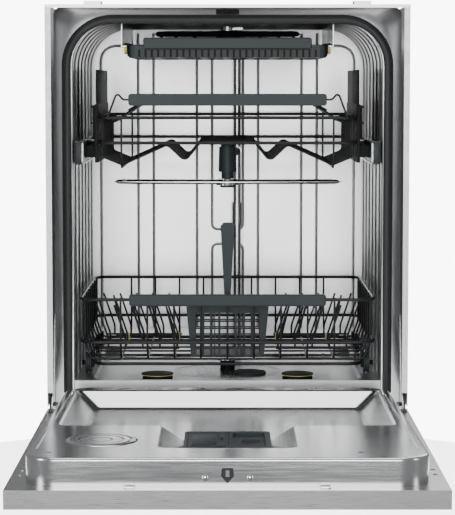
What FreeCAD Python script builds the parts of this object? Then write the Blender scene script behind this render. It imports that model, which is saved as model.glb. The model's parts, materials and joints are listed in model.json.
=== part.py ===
import FreeCAD, Part
import math
import os

from FreeCAD import Vector

os.makedirs("parts", exist_ok=True)

# Built-in dishwasher, door open, racks pushed in.
# Millimetres, +Z up, +Y towards the back wall, +X to the right as seen from the kitchen.
# Origin: the middle of the sole of the rear levelling foot, on the floor.

# ---- driving dimensions -------------------------------------------------------------------
overall_width = 596.0
overall_height = 819.0
casing_depth = 550.0             # front edge of the casing to its back
rear_foot_inset = 60.0           # back of the casing to the rear foot's axis
running_gap = 0.3                # between pieces that only rest or slide on each other
weld_gap = 0.1                   # between wires that cross in one rack

casing_sheet = 1.0
tub_wall = 2.0
tub_half_width = 256.0           # inner face of the side walls
tub_floor_z = 189.0              # top of the tub's floor along the front sill
ceiling_drop = 33.0              # tub's ceiling below the top of the casing
tub_corner_radius = 72.0
tub_back_clearance = 45.0        # tub's back wall to the casing's back
flange_setback = 46.0            # the door's liner closes into this recess
flange_half_width = 288.0
flange_top_drop = 7.3            # flange's top edge below the top of the casing
hoop_rib_height = 2.0
hoop_rib_width = 7.0
hoop_rib_count = 6
side_wall_drop = 36.0            # how far the sides reach below the floor

door_hinge_z = 150.0
door_hinge_front = 2.0           # hinge axis ahead of the casing's front edge
door_skin_thickness = 26.0
door_skin_under_axis = 28.0      # outer face of the open door below the hinge axis
door_top_gap = 4.0               # closed door to the top of the casing
door_bottom_overhang = 10.0      # door skin past the hinge axis
liner_height = 37.0              # liner's rim above the hinge axis, door open
liner_sheet = 1.2
liner_half_width = 274.5
liner_end_inset = 23.0
liner_corner_radius = 45.0
liner_heel = 12.0                # liner's far edge ahead of the hinge axis
pan_depth = 27.0
pan_far_edge = 41.0              # along the door from the hinge axis
pan_near_edge = 380.0
pan_half_width = 246.0
pan_slope = 32.0
notch_half_width = 95.0
notch_near_edge = 563.0

dispenser_half_width = 62.0
dispenser_length = 158.0
dispenser_height = 18.0
vent_radius = 50.0
vent_x = -177.0
vent_along = 506.0

wire_radius = 2.75
cross_wire_radius = 1.75
rack_front_setback = 66.0
rack_depth = 398.0
lower_rail_z = 323.0
lower_mid_z = 251.0
lower_base_z = 212.0
lower_half_width = 247.0
lower_base_half_width = 226.0
wheel_radius = 18.0
wheel_width = 10.0
wheel_axle_radius = 4.0
wheel_bore_clearance = 0.1

upper_handle_z = 658.0
upper_rail_z = 628.0
upper_mid_z = 586.0
upper_base_z = 548.0
upper_half_width = 216.0
slide_z = 570.0
slide_height = 38.0
slide_depth = 14.0

tray_drop = 58.0                 # cutlery tray's underside below the tub's ceiling
tray_half_width = 165.0
tray_depth = 380.0
tray_height = 20.0

handle_length = 330.0
handle_height = 20.0
handle_thickness = 14.0

foot_radius = 19.0
foot_sole_height = 8.0
base_bottom_z = 28.0
base_top_z = 112.0
kick_setback = 55.0

arm_axle_radius = 6.0
arm_bore_clearance = 0.08
lower_arm_length = 380.0
upper_arm_length = 404.0
top_arm_length = 260.0
arm_thickness = 9.0
lower_arm_lift = 4.3             # blade above the floor's ledges
upper_arm_z = 506.0
top_arm_y = -190.0
sump_radius = 95.0
sump_y = -235.0
filter_well_radius = 30.0
arm_tower_radius = 13.0
riser_x = 18.0
riser_setback = 23.0             # pipe's axis ahead of the back wall
spout_reach = 16.0
spray_feed_z = 560.0

inlet_thread_radius = 13.0
inlet_x = -200.0
inlet_rise = 28.0                # hose tail's axis above the base's bottom
worktop_hole_radius = 2.5
worktop_tab_x = 220.0
brace_drop = 11.0                # brace's lip below the top of the casing
foot_stem_radius = 6.0

button_x = 210.0
button_radius = 7.0
display_half = 32.0
control_inset = 40.0             # row of controls from the door's end
latch_screw_z = 160.5

hinge_pin_radius = 4.0
hinge_pin_clearance = 0.06
spring_x = 275.0
spring_z = 92.0
spring_length = 150.0
spring_hook_inset = 230.0        # base's hook behind the casing's front

tine_pitch = 30.0                # along a comb, from its inner end
tine_height = 74.0
tine_lean = 20.0
comb_inner_x = 84.0
comb_outer_x = 222.0
first_row_inset = 130.0          # first comb behind the rack's front rail
last_row_inset = 68.0            # last comb ahead of the rack's back rail
basket_inset = 29.0              # cutlery basket behind the rack's front rail
basket_top_z = 308.0
basket_bottom_z = 222.2
cup_hinge_x = 196.0
cup_hinge_z = 622.0

# ---- places worked out from them ------------------------------------------------------------
half_width = overall_width / 2
back_y = rear_foot_inset
front_y = back_y - casing_depth
flange_y = front_y + flange_setback
tub_back_y = back_y - tub_back_clearance
hinge_y = front_y - door_hinge_front
door_length = overall_height - door_top_gap - door_hinge_z
door_end_y = hinge_y - door_length
skin_bottom_z = door_hinge_z - door_skin_under_axis
skin_top_z = skin_bottom_z + door_skin_thickness
rim_z = door_hinge_z + liner_height
pan_z = rim_z - pan_depth
rack_front_y = front_y + rack_front_setback
rack_back_y = rack_front_y + rack_depth
rack_middle_y = (rack_front_y + rack_back_y) / 2
wheel_z = tub_floor_z + running_gap + wheel_radius
tub_ceiling_z = overall_height - ceiling_drop
flange_top_z = overall_height - flange_top_drop
tray_z = tub_ceiling_z - tray_drop
lower_arm_z = tub_floor_z + lower_arm_lift
upper_arm_y = rack_middle_y
riser_y = tub_back_y - tub_wall - riser_setback
inlet_z = base_bottom_z + inlet_rise
control_y = door_end_y + control_inset
spring_end_y = front_y + spring_hook_inset
basket_front_y = rack_front_y + basket_inset
fold_comb_z = lower_base_z + 17.0


# ---- shape helpers --------------------------------------------------------------------------
def box(x0, x1, y0, y1, z0, z1):
    return Part.makeBox(x1 - x0, y1 - y0, z1 - z0, Vector(x0, y0, z0))


def rounded_box(x0, x1, y0, y1, z0, z1, radius, axis):
    """A box whose four edges along the axis are rounded."""
    block = box(x0, x1, y0, y1, z0, z1)
    along = {"x": 0, "y": 1, "z": 2}[axis]
    edges = []
    for edge in block.Edges:
        run = edge.Vertexes[1].Point - edge.Vertexes[0].Point
        if abs(abs(run[along]) - run.Length) < 1e-6:
            edges.append(edge)
    return block.makeFillet(radius, edges)


def cylinder(radius, start, end):
    run = end - start
    return Part.makeCylinder(radius, run.Length, start, run)


def tube(outer, inner, start, end):
    run = end - start
    over = run.normalize() * 1.0
    return cylinder(outer, start, end).cut(cylinder(inner, start - over, end + over))


def bent_path(points, bend):
    """Straight runs joined by tangent arcs."""
    edges = []
    last = points[0]
    for before, corner, after in zip(points, points[1:], points[2:]):
        run_in = (corner - before).normalize()
        run_out = (after - corner).normalize()
        turn = run_in.getAngle(run_out)
        room = 0.45 * min((corner - before).Length, (after - corner).Length)
        cut = min(bend * math.tan(turn / 2), room)
        radius = cut / math.tan(turn / 2)
        arc_start = corner - run_in * cut
        arc_end = corner + run_out * cut
        inward = (run_out - run_in).normalize()
        centre = corner + inward * (radius / math.cos(turn / 2))
        arc_middle = centre - inward * radius
        edges.append(Part.LineSegment(last, arc_start).toShape())
        edges.append(Part.Arc(arc_start, arc_middle, arc_end).toShape())
        last = arc_end
    edges.append(Part.LineSegment(last, points[-1]).toShape())
    return Part.Wire(edges)


def rod(points, radius, bend=10.0):
    """A bent wire with round section."""
    points = [Vector(*p) for p in points]
    if len(points) == 2:
        return cylinder(radius, points[0], points[1])
    path = bent_path(points, bend)
    ring = Part.Wire(Part.Circle(points[0], points[1] - points[0], radius).toShape())
    return path.makePipeShell([ring], True, False)


def ring_rail(half_x, y0, y1, z, radius, bend):
    """A closed rectangular loop of wire with rounded corners."""
    middle = (y0 + y1) / 2
    corners = [(half_x, middle), (half_x, y1), (-half_x, y1), (-half_x, y0), (half_x, y0),
               (half_x, middle)]
    points = [Vector(x, y, z) for x, y in corners]
    path = bent_path(points, bend)
    ring = Part.Wire(Part.Circle(points[0], points[1] - points[0], radius).toShape())
    return path.makePipeShell([ring], True, False)


def prism_x(points, x0, x1):
    """Outline of (y, z) points, extruded along X."""
    loop = [Vector(x0, y, z) for y, z in points]
    face = Part.Face(Part.makePolygon(loop + [loop[0]]))
    return face.extrude(Vector(x1 - x0, 0, 0))


def prism_y(points, y0, y1):
    """Outline of (x, z) points, extruded along Y."""
    loop = [Vector(x, y0, z) for x, z in points]
    face = Part.Face(Part.makePolygon(loop + [loop[0]]))
    return face.extrude(Vector(0, y1 - y0, 0))


def level_loop(half_x, y0, y1, z):
    """A closed rectangle at one height, for lofts."""
    corners = [Vector(-half_x, y0, z), Vector(half_x, y0, z), Vector(half_x, y1, z), Vector(-half_x, y1, z)]
    return Part.makePolygon(corners + [corners[0]])


def mirrored(shape):
    return shape.mirror(Vector(0, 0, 0), Vector(1, 0, 0))


def save(name, *shapes):
    """Write one node; several solids stay separate."""
    solids = []
    for shape in shapes:
        solids.extend(shape.Solids)
    result = solids[0] if len(solids) == 1 else Part.makeCompound(solids)
    result.exportStep("parts/" + name + ".step")


def both(*shapes):
    """The given right-hand pieces and their left-hand mirror images."""
    return list(shapes) + [mirrored(shape) for shape in shapes]


# ---- casing and base ------------------------------------------------------------------------
def side_panel():
    """Outer casing sheet with a folded front edge."""
    sheet = box(half_width - casing_sheet, half_width, front_y, back_y, base_top_z + 6, overall_height - 6)
    sweep = box(half_width - 5, half_width + 5, front_y - 1, front_y + 34, base_top_z, skin_top_z + 4)
    sheet = sheet.cut(sweep)
    fold = box(flange_half_width + running_gap, half_width - casing_sheet, front_y, front_y + casing_sheet,
               door_hinge_z + 25, overall_height - brace_drop - running_gap)
    return sheet.fuse(fold)


def top_brace():
    """Folded steel cross-member over the tub's front, with worktop tabs."""
    span = half_width - casing_sheet - running_gap
    flat = box(-span, span, front_y, front_y + 60, overall_height - 7, overall_height - 5.5)
    lip = box(-span, span, front_y, front_y + 1.5, overall_height - brace_drop, overall_height - 7)
    body = flat.fuse(lip)
    for side in (-1, 1):
        tab = box(side * worktop_tab_x - 14, side * worktop_tab_x + 14, front_y, front_y + 45,
                  overall_height - 5.5, overall_height)
        hole = cylinder(worktop_hole_radius,
                        Vector(side * worktop_tab_x, front_y + 22, overall_height - 12),
                        Vector(side * worktop_tab_x, front_y + 22, overall_height + 2))
        body = body.fuse(tab).cut(hole)
    return body


def base_frame():
    """Moulded base tray that carries the feet, pumps and tub."""
    span = half_width - running_gap
    y0 = front_y + kick_setback + 4
    outer = box(-span, span, y0, back_y, base_bottom_z, base_top_z)
    room = box(-span + 4, span - 4, y0 + 4, back_y - 4, base_bottom_z + 4, base_top_z + 1)
    tray = outer.cut(room)
    for side in (-1, 1):
        for y in (y0 + 6, back_y - 30):
            post = box(side * 254 - 8, side * 254 + 8, y, y + 18, base_bottom_z + 2,
                       tub_floor_z - side_wall_drop - running_gap)
            tray = tray.fuse(post)
        lug = box(side * spring_x - 5, side * spring_x + 5, spring_end_y, spring_end_y + 6,
                  base_bottom_z + 2,
                  spring_z + 4)
        tray = tray.fuse(lug)
    hose_hole = cylinder(inlet_thread_radius + 8, Vector(inlet_x, back_y - 6, inlet_z),
                         Vector(inlet_x, back_y + 1, inlet_z))
    tray = tray.cut(hose_hole)
    for x, y in foot_places():
        boss = cylinder(foot_radius, Vector(x, y, base_bottom_z), Vector(x, y, base_bottom_z + 40))
        bore = cylinder(foot_stem_radius + running_gap, Vector(x, y, base_bottom_z - 1),
                        Vector(x, y, base_bottom_z + 41))
        tray = tray.fuse(boss).cut(bore)
    return tray


def foot_places():
    side = half_width - 40
    front = front_y + kick_setback + 35
    return [(-side, front), (side, front), (0, 0)]


def foot(x, y):
    """Levelling foot: flat sole on a threaded stem."""
    sole = cylinder(foot_radius, Vector(x, y, 0), Vector(x, y, foot_sole_height))
    collar = Part.makeCone(foot_radius - 4, foot_stem_radius + 2, 8, Vector(x, y, foot_sole_height))
    stem = cylinder(foot_stem_radius, Vector(x, y, foot_sole_height), Vector(x, y, base_bottom_z + 36))
    return sole.fuse(collar).fuse(stem)


def kick_plate():
    """Set-back plinth cover under the door."""
    y = front_y + kick_setback
    plate = box(-half_width + 6, half_width - 6, y, y + 3.7, base_bottom_z - 6, base_top_z)
    for x in (-120, 0, 120):
        slot = rounded_box(x - 40, x + 40, y - 1, y + 5, 62, 68, 2.9, "y")
        plate = plate.cut(slot)
    return plate


# ---- tub ------------------------------------------------------------------------------------
def tub_section(half_x, z0, z1, corner, y0, y1):
    """Block with its two upper edges rounded."""
    block = box(-half_x, half_x, y0, y1, z0, z1)
    edges = []
    for edge in block.Edges:
        a = edge.Vertexes[0].Point
        b = edge.Vertexes[1].Point
        if abs(a.z - z1) < 1e-6 and abs(b.z - z1) < 1e-6 and abs(a.x - b.x) < 1e-6:
            edges.append(edge)
    return block.makeFillet(corner, edges)


def tub_wrap():
    """Side walls and ceiling in one folded sheet, with pressed hoops and the front flange."""
    bottom = tub_floor_z - side_wall_drop
    outer = tub_section(tub_half_width + tub_wall, bottom, tub_ceiling_z + tub_wall,
                        tub_corner_radius + tub_wall, flange_y, tub_back_y)
    inner = tub_section(tub_half_width, bottom - 1, tub_ceiling_z, tub_corner_radius,
                        flange_y - 1, tub_back_y + 1)
    wrap = outer.cut(inner)
    flange = tub_section(flange_half_width - running_gap, bottom, flange_top_z, tub_corner_radius * 0.2,
                         flange_y, flange_y + tub_wall)
    wrap = wrap.fuse(flange.cut(inner))
    pitch = (tub_back_y - flange_y - 60) / (hoop_rib_count - 1)
    for index in range(hoop_rib_count):
        y = flange_y + 34 + index * pitch
        hoop = tub_section(tub_half_width + 0.5, tub_floor_z + 60, tub_ceiling_z + 0.5,
                           tub_corner_radius + 0.5, y, y + hoop_rib_width)
        opening = tub_section(tub_half_width - hoop_rib_height, tub_floor_z + 59,
                              tub_ceiling_z - hoop_rib_height, tub_corner_radius - hoop_rib_height,
                              y - 1, y + hoop_rib_width + 1)
        wrap = wrap.fuse(hoop.cut(opening))
    return wrap


def tub_back():
    """Back wall with pressed upright beads."""
    wall = tub_section(tub_half_width - weld_gap, tub_floor_z - side_wall_drop, tub_ceiling_z - weld_gap,
                       tub_corner_radius, tub_back_y - tub_wall, tub_back_y)
    for x in (-200, -150, -100, -32, 32, 100, 150, 200):
        bead = box(x - 4, x + 4, tub_back_y - tub_wall - 2, tub_back_y - tub_wall, tub_floor_z + 40,
                   tub_ceiling_z - 60)
        wall = wall.fuse(bead)
    return wall


def tub_floor():
    """Pressed floor: level side ledges for the wheels, sunk middle, hole for the sump."""
    y0 = flange_y
    y1 = tub_back_y - tub_wall - weld_gap
    half_x = tub_half_width - weld_gap
    floor = box(-half_x, half_x, y0, y1, tub_floor_z - side_wall_drop, tub_floor_z)
    under = box(-half_x + 2, half_x - 2, y0 + 2, y1 - 2, tub_floor_z - side_wall_drop - 1, tub_floor_z - 16)
    floor = floor.cut(under)
    sunk = rounded_box(-half_x + 30, half_x - 30, y0 + 12, y1 - 12, tub_floor_z - 14, tub_floor_z + 1, 30,
                       "z")
    floor = floor.cut(sunk)
    hole = cylinder(sump_radius, Vector(0, sump_y, tub_floor_z - 60), Vector(0, sump_y, tub_floor_z + 1))
    return floor.cut(hole)


def door_gasket():
    """Rubber profile round the two sides and the top of the opening."""
    y1 = flange_y - running_gap
    y0 = y1 - 9
    foot_z = tub_floor_z - 20
    inner_half = tub_half_width + 3
    inner_top = tub_ceiling_z - 3
    inner_corner = tub_corner_radius - 3
    outer = tub_section(inner_half + 15, foot_z, inner_top + 15, inner_corner + 15, y0, y1)
    inner = tub_section(inner_half, foot_z - 1, inner_top, inner_corner, y0 - 1, y1 + 1)
    lip = tub_section(inner_half + 3, foot_z, inner_top + 3, inner_corner + 3, y0, y0 + 3).cut(inner)
    return outer.cut(inner).fuse(lip)


def sill_seal():
    """Rubber strip under the front sill that the closed door presses."""
    return prism_x([(flange_y - 0.3, tub_floor_z - 8), (flange_y - 9, tub_floor_z - 12),
                    (flange_y - 9, tub_floor_z - 16), (flange_y - 0.3, tub_floor_z - 18)], -255, 255)


# ---- wash system in the base ----------------------------------------------------------------
def sump():
    """Moulded bowl under the floor with the pump port."""
    top = tub_floor_z - 16 - running_gap
    flange = cylinder(sump_radius + 12, Vector(0, sump_y, top - 4), Vector(0, sump_y, top))
    bowl = cylinder(sump_radius - 8, Vector(0, sump_y, top - 52), Vector(0, sump_y, top - 4))
    room = cylinder(sump_radius - 12, Vector(0, sump_y, top - 48), Vector(0, sump_y, top + 1))
    port = cylinder(20, Vector(60, sump_y, top - 32), Vector(122, sump_y, top - 32))
    body = flange.fuse(bowl).fuse(port).cut(room)
    return body.cut(cylinder(16, Vector(60, sump_y, top - 32), Vector(123, sump_y, top - 32)))


def filter_plate():
    """Stainless fine filter round the arm's tower, resting in the sump's hole."""
    z = tub_floor_z - 16
    disc = cylinder(sump_radius - running_gap, Vector(0, sump_y, z), Vector(0, sump_y, z + 1.5))
    disc = disc.cut(cylinder(filter_well_radius, Vector(38, sump_y - 30, z - 1),
                             Vector(38, sump_y - 30, z + 3)))
    disc = disc.cut(cylinder(arm_tower_radius + running_gap, Vector(0, sump_y + 20, z - 1),
                             Vector(0, sump_y + 20, z + 3)))
    return disc


def filter_cup():
    """Removable coarse filter with a bar grip."""
    z = tub_floor_z - 16
    cup = tube(filter_well_radius - running_gap, filter_well_radius - 3, Vector(38, sump_y - 30, z - 40),
               Vector(38, sump_y - 30, z + 6))
    grip = box(38 - 27.5, 38 + 27.5, sump_y - 32, sump_y - 28, z - 4, z + 8)
    return cup.fuse(grip)


def arm_tower():
    """Upright spout that carries the lower spray arm, with its axle pin."""
    base = Vector(0, sump_y + 20, tub_floor_z - 16 - running_gap - 48 + weld_gap)
    top = Vector(0, sump_y + 20, lower_arm_z - running_gap)
    pin_top = Vector(0, sump_y + 20, lower_arm_z + arm_thickness + 4)
    return cylinder(arm_tower_radius, base, top).fuse(cylinder(arm_axle_radius, top, pin_top))


def spray_arm(centre, length, thickness, upward):
    """Hollow blade: wide at the hub, narrow at the tips, with nozzles."""
    cx, cy, cz = centre
    half = length / 2
    outline = [(-half, -9), (-half + 14, -15), (-40, -24), (40, -24), (half - 14, -15), (half, -9),
               (half, 9), (half - 14, 15), (40, 24), (-40, 24), (-half + 14, 15), (-half, 9)]
    loop = [Vector(cx + x, cy + y, cz) for x, y in outline]
    blade = Part.Face(Part.makePolygon(loop + [loop[0]])).extrude(Vector(0, 0, thickness))
    hub = cylinder(20, Vector(cx, cy, cz), Vector(cx, cy, cz + thickness + 2))
    arm = blade.fuse(hub)
    side = thickness if upward else 0
    rise = 1.6 if upward else -1.6
    for x in (-half + 22, -half * 0.7, -half * 0.45, half * 0.45, half * 0.7, half - 22):
        nozzle = Part.makeCone(4, 2.5, abs(rise), Vector(cx + x, cy, cz + side), Vector(0, 0, rise))
        arm = arm.fuse(nozzle)
    bore = cylinder(arm_axle_radius + arm_bore_clearance, Vector(cx, cy, cz - 3),
                    Vector(cx, cy, cz + thickness + 4))
    return arm.cut(bore)


def circulation_pump():
    """Wash pump: volute, motor can and cooling end."""
    start = Vector(122 + running_gap, sump_y, tub_floor_z - 16 - running_gap - 32)
    volute = cylinder(30, start, start + Vector(26, 0, 0))
    motor = cylinder(27, start + Vector(26, 0, 0), start + Vector(96, 0, 0))
    end = cylinder(24, start + Vector(96, 0, 0), start + Vector(106, 0, 0))
    outlet = cylinder(10, start + Vector(13, 0, 0), start + Vector(13, 0, -50))
    return volute.fuse(motor).fuse(end).fuse(outlet)


def drain_pump():
    """Small drain pump on the base tray."""
    start = Vector(-150, sump_y + 40, base_bottom_z + 26)
    return cylinder(21, start, start + Vector(34, 0, 0)).fuse(
        cylinder(17, start + Vector(34, 0, 0), start + Vector(64, 0, 0))).fuse(
        box(-150, -116, sump_y + 28, sump_y + 52, base_bottom_z + 4 + running_gap, base_bottom_z + 26))


def water_softener():
    """Resin tank under the left of the tub, below the salt cap."""
    top = tub_floor_z - 16 - running_gap
    tank = rounded_box(-235, -125, front_y + 90, front_y + 200, 62, top, 14, "z")
    return tank


def inlet_valve():
    """Solenoid valve with a threaded hose tail at the back of the base."""
    body = box(inlet_x - 22, inlet_x + 22, back_y - 60, back_y - 20, base_bottom_z + 4 + running_gap,
               inlet_z + 20)
    tail = cylinder(inlet_thread_radius, Vector(inlet_x, back_y - 20, inlet_z),
                    Vector(inlet_x, back_y - 1, inlet_z))
    return body.fuse(tail)


def floor_cap(x):
    """Round reservoir cap with a raised grip, on the tub's sunk floor."""
    y = front_y + 130
    z = tub_floor_z - 14
    skirt = cylinder(26, Vector(x, y, z + weld_gap), Vector(x, y, z + 9))
    crown = cylinder(22, Vector(x, y, z + 9), Vector(x, y, z + 13))
    ring = cylinder(27.5, Vector(x, y, z + 13), Vector(x, y, z + 15))
    return skirt.fuse(crown).fuse(ring)


def riser_pipe():
    """Feed pipe up the back wall to the top arm, with the upper rack's docking spout."""
    x = riser_x
    y = riser_y
    duct_top = tub_ceiling_z - hoop_rib_height - running_gap
    pipe = cylinder(7, Vector(x, y, tub_floor_z - 14 + running_gap), Vector(x, y, duct_top))
    collar = cylinder(9.5, Vector(x, y, 420), Vector(x, y, 462))
    spout = cylinder(8, Vector(x, y, spray_feed_z), Vector(x, y - spout_reach, spray_feed_z))
    duct = box(x - 9, x + 9, top_arm_y, y, tub_ceiling_z - 6.5, duct_top)
    return pipe.fuse(collar).fuse(spout).fuse(duct).fuse(top_spray_mount())


def top_spray_mount():
    """Ceiling boss with the top arm's axle pin pointing down."""
    boss = cylinder(12, Vector(0, top_arm_y, tub_ceiling_z - running_gap),
                    Vector(0, top_arm_y, tub_ceiling_z - 8))
    arm_feed = box(0, 24, top_arm_y - 8, top_arm_y + 8, tub_ceiling_z - 6.5, tub_ceiling_z - 3)
    pin = cylinder(arm_axle_radius, Vector(0, top_arm_y, tub_ceiling_z - 8),
                   Vector(0, top_arm_y, tub_ceiling_z - 21))
    return boss.fuse(arm_feed).fuse(pin)


# ---- door -----------------------------------------------------------------------------------
def door_skin():
    """Outer door: brushed steel tray, its rim turned up round the liner's foot."""
    y1 = hinge_y + door_bottom_overhang
    outer = box(-half_width, half_width, door_end_y, y1, skin_bottom_z, skin_top_z)
    room = box(-half_width + 1.5, half_width - 1.5, door_end_y + 1.5, y1 - 1.5, skin_bottom_z + 1.5,
               skin_top_z - 1.5)
    mouth = box(-liner_half_width + 12, liner_half_width - 12, door_end_y + liner_end_inset + 14,
                hinge_y - liner_heel - 14, skin_top_z - 2, skin_top_z + 1)
    skin = outer.cut(room).cut(mouth)
    for side in (-1, 1):
        heel = box(side * 275 - 19.5, side * 275 + 19.5, hinge_y - 40, y1 + 1, skin_bottom_z + 1.5,
                   skin_top_z + 1)
        skin = skin.cut(heel)
    for x in (-button_x, button_x):
        hole = cylinder(button_radius + 0.4, Vector(x, control_y, skin_bottom_z - 1),
                        Vector(x, control_y, skin_bottom_z + 3))
        skin = skin.cut(hole)
    window = box(-display_half - 0.2, display_half + 0.2, control_y - 7.2, control_y + 7.2,
                 skin_bottom_z - 1,
                 skin_bottom_z + 3)
    return skin.cut(window)


def liner_form(inset):
    """The liner's solid form; a larger inset gives the form inside the sheet."""
    half_x = liner_half_width - inset
    y0 = door_end_y + liner_end_inset + inset
    y1 = hinge_y - liner_heel - inset
    slab = rounded_box(-half_x, half_x, y0, y1, skin_top_z + weld_gap - (1 if inset else 0), rim_z - inset,
                       liner_corner_radius - inset, "z")
    floor_z = pan_z - inset
    pan = sloped_pit(pan_half_width + inset, hinge_y - pan_near_edge - inset,
                     hinge_y - pan_far_edge + inset, floor_z, rim_z - inset, pan_slope)
    notch = sloped_pit(notch_half_width + inset, hinge_y - notch_near_edge - inset,
                       hinge_y - pan_near_edge + 50, floor_z, rim_z - inset, pan_slope)
    return slab.cut(pan.fuse(notch))


def sloped_pit(half_x, y0, y1, z0, z1, slope):
    """Pit whose four walls lean outwards, open at the top."""
    lean = 1.0 / (z1 - z0)
    top = level_loop(half_x + slope * lean, y0 - 22 * lean, y1 + 27 * lean, z1 + 1)
    bottom = level_loop(half_x - slope, y0 + 22, y1 - 27, z0)
    return Part.makeLoft([bottom, top], True, True)


def door_liner():
    """Stainless inner door: raised edge, deep pan and the dispenser's notch."""
    liner = liner_form(0).cut(liner_form(liner_sheet))
    vent = cylinder(vent_radius + 3, Vector(vent_x, hinge_y - vent_along, rim_z - 4),
                    Vector(vent_x, hinge_y - vent_along, rim_z + 1))
    window = box(-dispenser_half_width + 4, dispenser_half_width - 4, dispenser_y() + 4,
                 dispenser_y() + dispenser_length - 4, pan_z - 4, pan_z + 1)
    latch = latch_outline(8.9 + running_gap, door_end_y + liner_end_inset - 1, liner_sheet + 2)
    liner = liner.cut(vent).cut(window).cut(latch)
    for side in (-1, 1):
        hole = cylinder(3.2, Vector(side * 30, door_end_y + liner_end_inset - 1, latch_screw_z),
                        Vector(side * 30, door_end_y + liner_end_inset + 3, latch_screw_z))
        liner = liner.cut(hole)
    return liner


def dispenser_y():
    return hinge_y - notch_near_edge + 23


def latch_outline(half, y, depth):
    """Shield-shaped block in the liner's end face."""
    z_top = rim_z - 13
    z_point = rim_z - 34
    points = [(-half + 1.5, z_top), (half - 1.5, z_top), (half, z_top - 11), (0, z_point),
              (-half, z_top - 11)]
    return prism_y(points, y, y + depth)


def door_latch():
    """Latch block held behind the liner's end, with a slot for the striker."""
    block = latch_outline(8.9, door_end_y + liner_end_inset - 1.2, 30)
    back = box(-38, 38, door_end_y + liner_end_inset + liner_sheet + running_gap,
               door_end_y + liner_end_inset + 26, rim_z - 34, rim_z - 3)
    slot = box(-2.6, 2.6, door_end_y + liner_end_inset - 2, door_end_y + liner_end_inset + 12, rim_z - 25,
               rim_z - 16)
    body = block.fuse(back).cut(slot)
    for side in (-1, 1):
        hole = cylinder(3.1, Vector(side * 30, door_end_y + liner_end_inset, latch_screw_z),
                        Vector(side * 30, door_end_y + liner_end_inset + 30, latch_screw_z))
        body = body.cut(hole)
    return body


def latch_screws():
    screws = []
    for side in (-1, 1):
        face = Vector(side * 30, door_end_y + liner_end_inset, latch_screw_z)
        head = Part.makeSphere(6.2, face + Vector(0, 4.1, 0)).common(
            box(side * 30 - 7, side * 30 + 7, face.y - 5, face.y - weld_gap, latch_screw_z - 7,
                latch_screw_z + 7))
        shank = cylinder(3.0, face + Vector(0, -1, 0), face + Vector(0, 22, 0))
        screws.append(head.fuse(shank))
    return screws


def striker():
    """Latch hook over the middle of the opening."""
    foot_z = tub_ceiling_z + 13
    plate = box(-19, 19, flange_y - 3, flange_y - weld_gap, foot_z, foot_z + 8)
    hook = box(-2.2, 2.2, flange_y - 20, flange_y - 3, foot_z + 2, foot_z + 6)
    return plate.fuse(hook)


def dispenser_body():
    """Moulded detergent and rinse-aid box let into the notch."""
    y0 = dispenser_y()
    y1 = y0 + dispenser_length
    top = pan_z + dispenser_height
    rim = rounded_box(-dispenser_half_width, dispenser_half_width, y0, y1, pan_z + weld_gap, top, 6, "z")
    box_below = box(-dispenser_half_width + 5, dispenser_half_width - 5, y0 + 5, y1 - 5, skin_bottom_z + 8,
                    pan_z + weld_gap)
    body = rim.fuse(box_below)
    cup = rounded_box(-dispenser_half_width + 8, -2, y0 + 70, y1 - 12, pan_z - 18, top - 3, 5, "z")
    seat = box(-dispenser_half_width + 5, 2, y0 + 20, y1 - 8, top - 3, top + 1)
    dose = rounded_box(8, dispenser_half_width - 8, y0 + 30, y1 - 12, top - 4, top + 1, 5, "z")
    cap_hole = cylinder(16 + running_gap, Vector(34, y0 + 95, top - 8), Vector(34, y0 + 95, top + 1))
    return body.cut(cup).cut(seat).cut(dose).cut(cap_hole)


def detergent_lid():
    """Flap over the detergent cup, hinged at its outer long edge."""
    y0 = dispenser_y()
    top = pan_z + dispenser_height
    flap = box(-dispenser_half_width + 5.4, 1.6, y0 + 20.4, y0 + dispenser_length - 8.4, top - 2.7,
               top - 0.4)
    grip = box(-10, -6, y0 + 90, y0 + 120, top - 0.4, top + 3)
    return flap.fuse(grip)


def rinse_cap():
    """Quarter-turn cap of the rinse-aid tank."""
    y0 = dispenser_y()
    top = pan_z + dispenser_height
    disc = cylinder(16, Vector(34, y0 + 95, top - 7.7), Vector(34, y0 + 95, top - 3.4))
    grip = box(34 - 13, 34 + 13, y0 + 93, y0 + 97, top - 3.4, top - 0.6)
    return disc.fuse(grip)


def vent_cap():
    """Steel disc over the drying vent, with a raised ring."""
    centre = Vector(vent_x, hinge_y - vent_along, rim_z - 6)
    disc = cylinder(vent_radius, centre, centre + Vector(0, 0, 7))
    step = tube(vent_radius - 8, vent_radius - 11, centre + Vector(0, 0, 6), centre + Vector(0, 0, 7.6))
    duct = tube(vent_radius - 14, vent_radius - 17, centre + Vector(0, 0, -26), centre + Vector(0, 0, 0.5))
    flange = tube(vent_radius + 12, vent_radius - 3, centre + Vector(0, 0, 1), centre + Vector(0, 0, 4.5))
    return disc.fuse(step).fuse(duct).fuse(flange)


def control_board():
    """Boxed electronics behind the door's upper edge."""
    return box(-140, 140, control_y + 12, control_y + 74, skin_bottom_z + 1.5 + running_gap,
               skin_bottom_z + 20)


def display_window():
    return box(-display_half, display_half, control_y - 7, control_y + 7, skin_bottom_z - 0.2,
               skin_bottom_z + 5)


def button(x):
    """Push button through the skin, standing on its switch."""
    cap = cylinder(button_radius, Vector(x, control_y, skin_bottom_z - 1.8),
                   Vector(x, control_y, skin_bottom_z + 4))
    lip = cylinder(button_radius + 2, Vector(x, control_y, skin_bottom_z + 1.8),
                   Vector(x, control_y, skin_bottom_z + 4))
    return cap.fuse(lip)


def button_switches():
    switches = []
    for x in (-button_x, button_x):
        switches.append(box(x - 9, x + 9, control_y - 10, control_y + 10, skin_bottom_z + 6,
                            skin_bottom_z + 16))
        switches.append(box(x - 9, x - 7.2, control_y - 12.4, control_y - 10.1, skin_bottom_z + 1.7,
                            skin_bottom_z + 16))
    return switches


# ---- hinges ---------------------------------------------------------------------------------


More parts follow.
